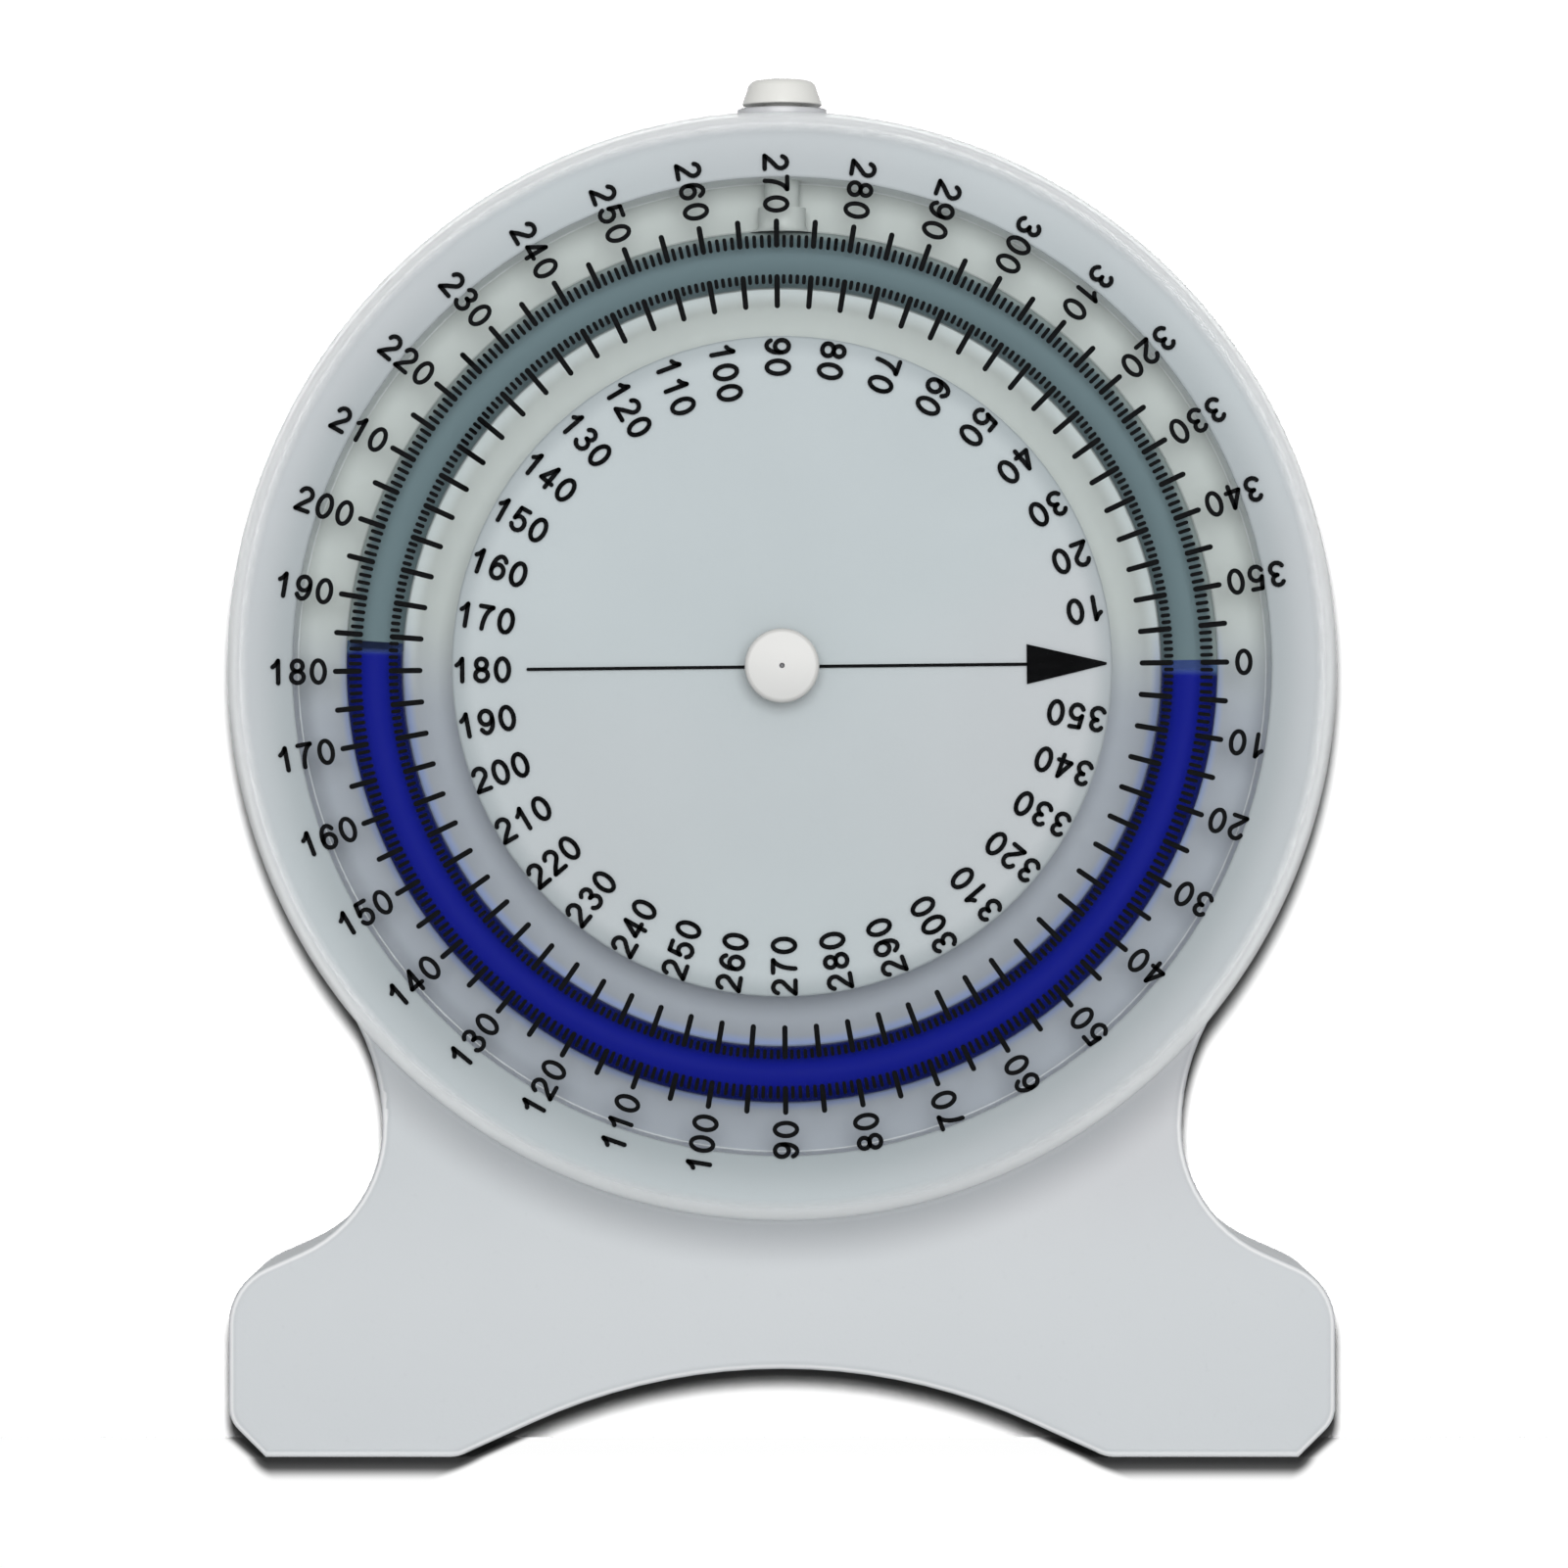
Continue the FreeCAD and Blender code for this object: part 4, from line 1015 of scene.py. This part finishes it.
def trapped_air(finish):
    """The air over the liquid, with a bulging end where each end of the liquid is hollow.

    Its ends have the liquid's own form, and stay clear of it by a thin gap along the ring.
    """
    share = np.linspace(0, 1, END_STEPS)
    gap = AIR_GAP / RING_RADIUS
    right = RIGHT_END - 2 * math.pi + gap
    right_edge = RIGHT_EDGE - 2 * math.pi + gap
    left = LEFT_END - gap
    left_edge = LEFT_EDGE - gap
    angles = np.concatenate([
        right + (right_edge - right) * share ** 2,
        np.linspace(right_edge, left_edge, LIQUID_STEPS)[1:-1],
        left + (left_edge - left) * share[::-1] ** 2,
    ])
    shares = np.concatenate([share, np.ones(len(angles) - 2 * len(share)), share[::-1]])
    made = piece("trapped_air", [ring_shell(angles, COLUMN_RADIUS * shares, BORE_TURN)], finish,
                 "liquid")
    made.visible_shadow = False


def stopper(finish):
    """The filler's plug: a tapered head with a rounded crown and foot, and its shank."""
    top_radius = PLUG_RADIUS - PLUG_TAPER
    crown = bow(top_radius - PLUG_CROWN_INSET, PLUG_TOP - PLUG_CROWN_ROUND,
                PLUG_CROWN_ROUND, PLUG_CROWN_ROUND, 90, CROWN_LEAN, CROWN_STEPS)
    foot = bow(PLUG_RADIUS - PLUG_FOOT_ROUND, PLUG_SEAT + PLUG_FOOT_ROUND,
               PLUG_FOOT_ROUND, PLUG_FOOT_ROUND, FOOT_LEAN, -90, SMALL_ROUND_STEPS)
    profile = np.concatenate([
        [(0, PLUG_TOP)],
        crown,
        foot,
        [(PLUG_SHANK_RADIUS, PLUG_SEAT)],
        [(PLUG_SHANK_RADIUS, PLUG_BOTTOM + PLUG_FOOT_ROUND)],
        [(PLUG_SHANK_RADIUS - PLUG_FOOT_ROUND, PLUG_BOTTOM)],
        [(0, PLUG_BOTTOM)],
    ])
    piece("stopper", [lathe(profile, SMALL_TURN, upright=True)], finish, "housing",
          ["filler_plug"])


# The stage

STAGE_REACH = 0.6
BACKDROP_GAP = 0.2 * MM
# the floor's own white and the light that it gives back, as the camera sees it
FLOOR_WHITE = 0.98
FLOOR_LIT = 0.06
# the light that the floor gives back to the object, and the paper to the camera
FLOOR_BOUNCE = 0.8
PAPER_ALBEDO = 0.05

# the key lamp, with its angles in degrees from straight ahead of the dial
KEY_DISTANCE = 2.2
KEY_SIZE = 1.1
KEY_ELEVATION = 5.5
KEY_SIDE = 2.0
# what the lamp and the world give a white surface that faces the front, as shares of white
KEY_SHARE = 0.655
WORLD_SHARE = 0.4
# the near lamps that light only the backdrop, and make the fine shadow round the object's edges:
# the height and the share of each
EDGE_LAMPS = ((82 * MM, 3.5), (97 * MM, 9.5), (112 * MM, 11.0))
EDGE_LAMP_SIDE = -1.5 * MM
EDGE_LAMP_FRONT = -568 * MM
EDGE_LAMP_RADIUS = 15 * MM

# the sole of each foot, and how far the shadow painted round it spreads forwards, back, under the
# arch and outwards; both sides of it spread further towards the back, and draw in towards the front
SOLE_START = 29 * MM
SOLE_END = 47.4 * MM
SHADOW_FORWARDS = 20.5 * MM
SHADOW_BACKWARDS = 12 * MM
SHADOW_INWARDS = 2.0 * MM
SHADOW_OUTWARDS = 1.76 * MM
INWARD_SPREAD = 0.17
OUTWARD_SPREAD = 0.185
FRONT_TAPER = 0.12
# the core's share of the painted shadow, and where the core and its faint fringe end over that spread
CORE_SHARE = 0.93
SHADOW_CORE = (0.43, 1.08)
SHADOW_FRINGE = (0.1, 0.6)

CAMERA_PLACE = (0.18 * MM, -650.05 * MM, 61.8 * MM)
CAMERA_NEAR = 10 * MM
VIEW_WIDTH = 143.3 * MM
SENSOR_WIDTH = 36.0


def seen_directly(nodes):
    """1 for what the camera sees itself, or in gloss or through glass, and else 0."""
    path = nodes.add("ShaderNodeLightPath")
    camera, gloss, through = (Shade(nodes, path.outputs[name]) for name in
                              ("Is Camera Ray", "Is Glossy Ray", "Is Transmission Ray"))
    return camera.at_least(gloss).at_least(through)


def sheet_object(name, four_corners, finish):
    """A flat sheet of the stage."""
    mesh = bpy.data.meshes.new(name)
    mesh.from_pydata(four_corners, [], [(0, 1, 2, 3)])
    mesh.materials.append(finish)
    made = new_object(name, mesh)
    return made


def floor_sheet():
    """A pale floor, nearly white to the camera, with a soft shadow painted round the feet.

    The painted shadow's strength falls with the distance from the sole, (u^2 + v^2)^1/2, where u is
    the distance forwards or back and v the distance sideways, each over its own reach. Under it, the
    lamps give the floor a faint real shade too.
    """
    nodes = new_finish("pale_floor")
    x, y, _ = nodes.parts(nodes.point())
    behind = (y - FACE_Y).at_least(0)
    ahead = (FACE_Y - y).at_least(0)
    taper = ahead * FRONT_TAPER
    inwards = (SOLE_START - abs(x) - behind * INWARD_SPREAD + taper) / SHADOW_INWARDS
    outwards = (abs(x) - SOLE_END - behind * OUTWARD_SPREAD + taper) / SHADOW_OUTWARDS
    sideways = inwards.at_least(outwards).at_least(0)
    along = (ahead / SHADOW_FORWARDS).at_least((y - BACK_Y) / SHADOW_BACKWARDS)
    reach = (sideways * sideways + along * along) ** 0.5
    unshaded = CORE_SHARE * reach.step(*SHADOW_CORE) + (1 - CORE_SHARE) * reach.step(*SHADOW_FRINGE)
    glow = nodes.shade("ShaderNodeEmission", "Emission", None,
                       {"Color": grey(1.0), "Strength": FLOOR_WHITE * unshaded})
    shown = nodes.shade("ShaderNodeAddShader", "Shader", None,
                        {0: glow, 1: nodes.diffuse(grey(FLOOR_LIT))})
    bounce = nodes.diffuse(grey(FLOOR_BOUNCE))
    finish = nodes.finish(nodes.blend(seen_directly(nodes), bounce, shown))
    far = STAGE_REACH
    sheet_object("floor", [(-far, -far, 0), (far, -far, 0), (far, far, 0), (-far, far, 0)], finish)


def backdrop_sheet():
    """White paper close behind the object, which only the camera in front of it sees."""
    nodes = new_finish("white_paper")
    back = nodes.shade("ShaderNodeNewGeometry", "Backfacing")
    shown = nodes.shade("ShaderNodeLightPath", "Is Camera Ray") * (1 - back)
    finish = nodes.finish(nodes.blend(shown, nodes.clear(), nodes.diffuse(grey(PAPER_ALBEDO))))
    far = STAGE_REACH
    depth = BACK_Y + BACKDROP_GAP
    return sheet_object("backdrop", [(-far, depth, 0), (far, depth, 0), (far, depth, far),
                                     (-far, depth, far)], finish)


def studio_world():
    """An even pale light from all round, and plain white where it is seen itself."""
    world = bpy.data.worlds.new("studio")
    bpy.context.scene.world = world
    nodes = Nodes(world)
    strength = seen_directly(nodes).between(WORLD_SHARE, 1)
    white = nodes.shade("ShaderNodeBackground", "Background", None,
                        {"Color": grey(1.0), "Strength": strength})
    nodes.finish(white, "ShaderNodeOutputWorld")


def key_lamp():
    """A wide lamp that shines at the dial's centre.

    Its energy is its share times (pi times the distance)^2, over the elevation's cosine.
    """
    data = bpy.data.lights.new("key", "AREA")
    data.shape = "DISK"
    data.size = KEY_SIZE
    lift = math.radians(KEY_ELEVATION)
    turn = math.radians(KEY_SIDE)
    data.energy = KEY_SHARE * (math.pi * KEY_DISTANCE) ** 2 / math.cos(lift)
    lamp = new_object("key", data)
    lamp.location = (KEY_DISTANCE * math.cos(lift) * math.sin(turn),
                     -KEY_DISTANCE * math.cos(lift) * math.cos(turn),
                     DIAL_Z + KEY_DISTANCE * math.sin(lift))
    lamp.rotation_euler = (math.radians(90) - lift, 0, turn)


def edge_lamps(backdrop):
    """The backdrop's own lamps: each one's energy is its share times (2 pi times the distance)^2."""
    receivers = bpy.data.collections.new("backdrop_only")
    receivers.objects.link(backdrop)
    for height, share in EDGE_LAMPS:
        data = bpy.data.lights.new("edge", "POINT")
        data.shadow_soft_size = EDGE_LAMP_RADIUS
        data.energy = share * (2 * math.pi * (BACK_Y - EDGE_LAMP_FRONT)) ** 2
        lamp = new_object("edge", data)
        lamp.location = (EDGE_LAMP_SIDE, EDGE_LAMP_FRONT, height)
        lamp.visible_camera = False
        lamp.light_linking.receiver_collection = receivers


def camera():
    """A long lens, level, in front of the dial."""
    data = bpy.data.cameras.new("camera")
    data.sensor_width = SENSOR_WIDTH
    data.lens = SENSOR_WIDTH * (DISC_FRONT - CAMERA_PLACE[1]) / VIEW_WIDTH
    data.clip_start = CAMERA_NEAR
    made = new_object("camera", data)
    made.location = CAMERA_PLACE
    made.rotation_euler = (math.radians(90), 0, 0)
    bpy.context.scene.camera = made


def dress(node, finish):
    """Gives a solid that stays its finish."""
    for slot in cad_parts[node].material_slots:
        slot.material = finish


camera()
floor_sheet()
backdrop = backdrop_sheet()
studio_world()
key_lamp()
edge_lamps(backdrop)

zinc = metal_finish("zinc_plate", (0.62, 0.62, 0.63), shine=0.3, scale=1800.0)
spring = metal_finish("spring_steel", (0.4, 0.4, 0.42), shine=0.28, scale=9000.0, turned=True)
brass = metal_finish("turned_brass", (0.78, 0.57, 0.26), shine=0.22, scale=12000.0, turned=True)
nylon = moulded_finish("natural_nylon", (0.8, 0.78, 0.72), (0.72, 0.7, 0.62), shine=0.5)
silicone = moulded_finish("soft_silicone", (0.44, 0.44, 0.43), (0.38, 0.38, 0.37), shine=0.6,
                          gloss=0.3)
cream = moulded_finish("cream_plastic", (0.8, 0.8, 0.77), (0.75, 0.75, 0.71), shine=0.3)
dress("front_housing", stand_finish())
dress("rear_cover", cover_finish())
dress("cover_screws", zinc)
dress("backing_washer", zinc)
dress("spring_washer", spring)
dress("retaining_clip", spring)
dress("pivot_bush", brass)
dress("friction_washer", nylon)
dress("plug_gasket", silicone)
dress("filler_stem", stem_finish())

ink = ink_finish()
clear_dial(dial_finish())
scale_ticks(ink)
scale_numbers(ink)
scale_pointer(ink)
turning_knob(knob_finish())
ring_tube(tube_finish())
blue_liquid(liquid_finish())
trapped_air(air_finish())
stopper(cream)

bpy.context.scene.view_settings.view_transform = "Standard"
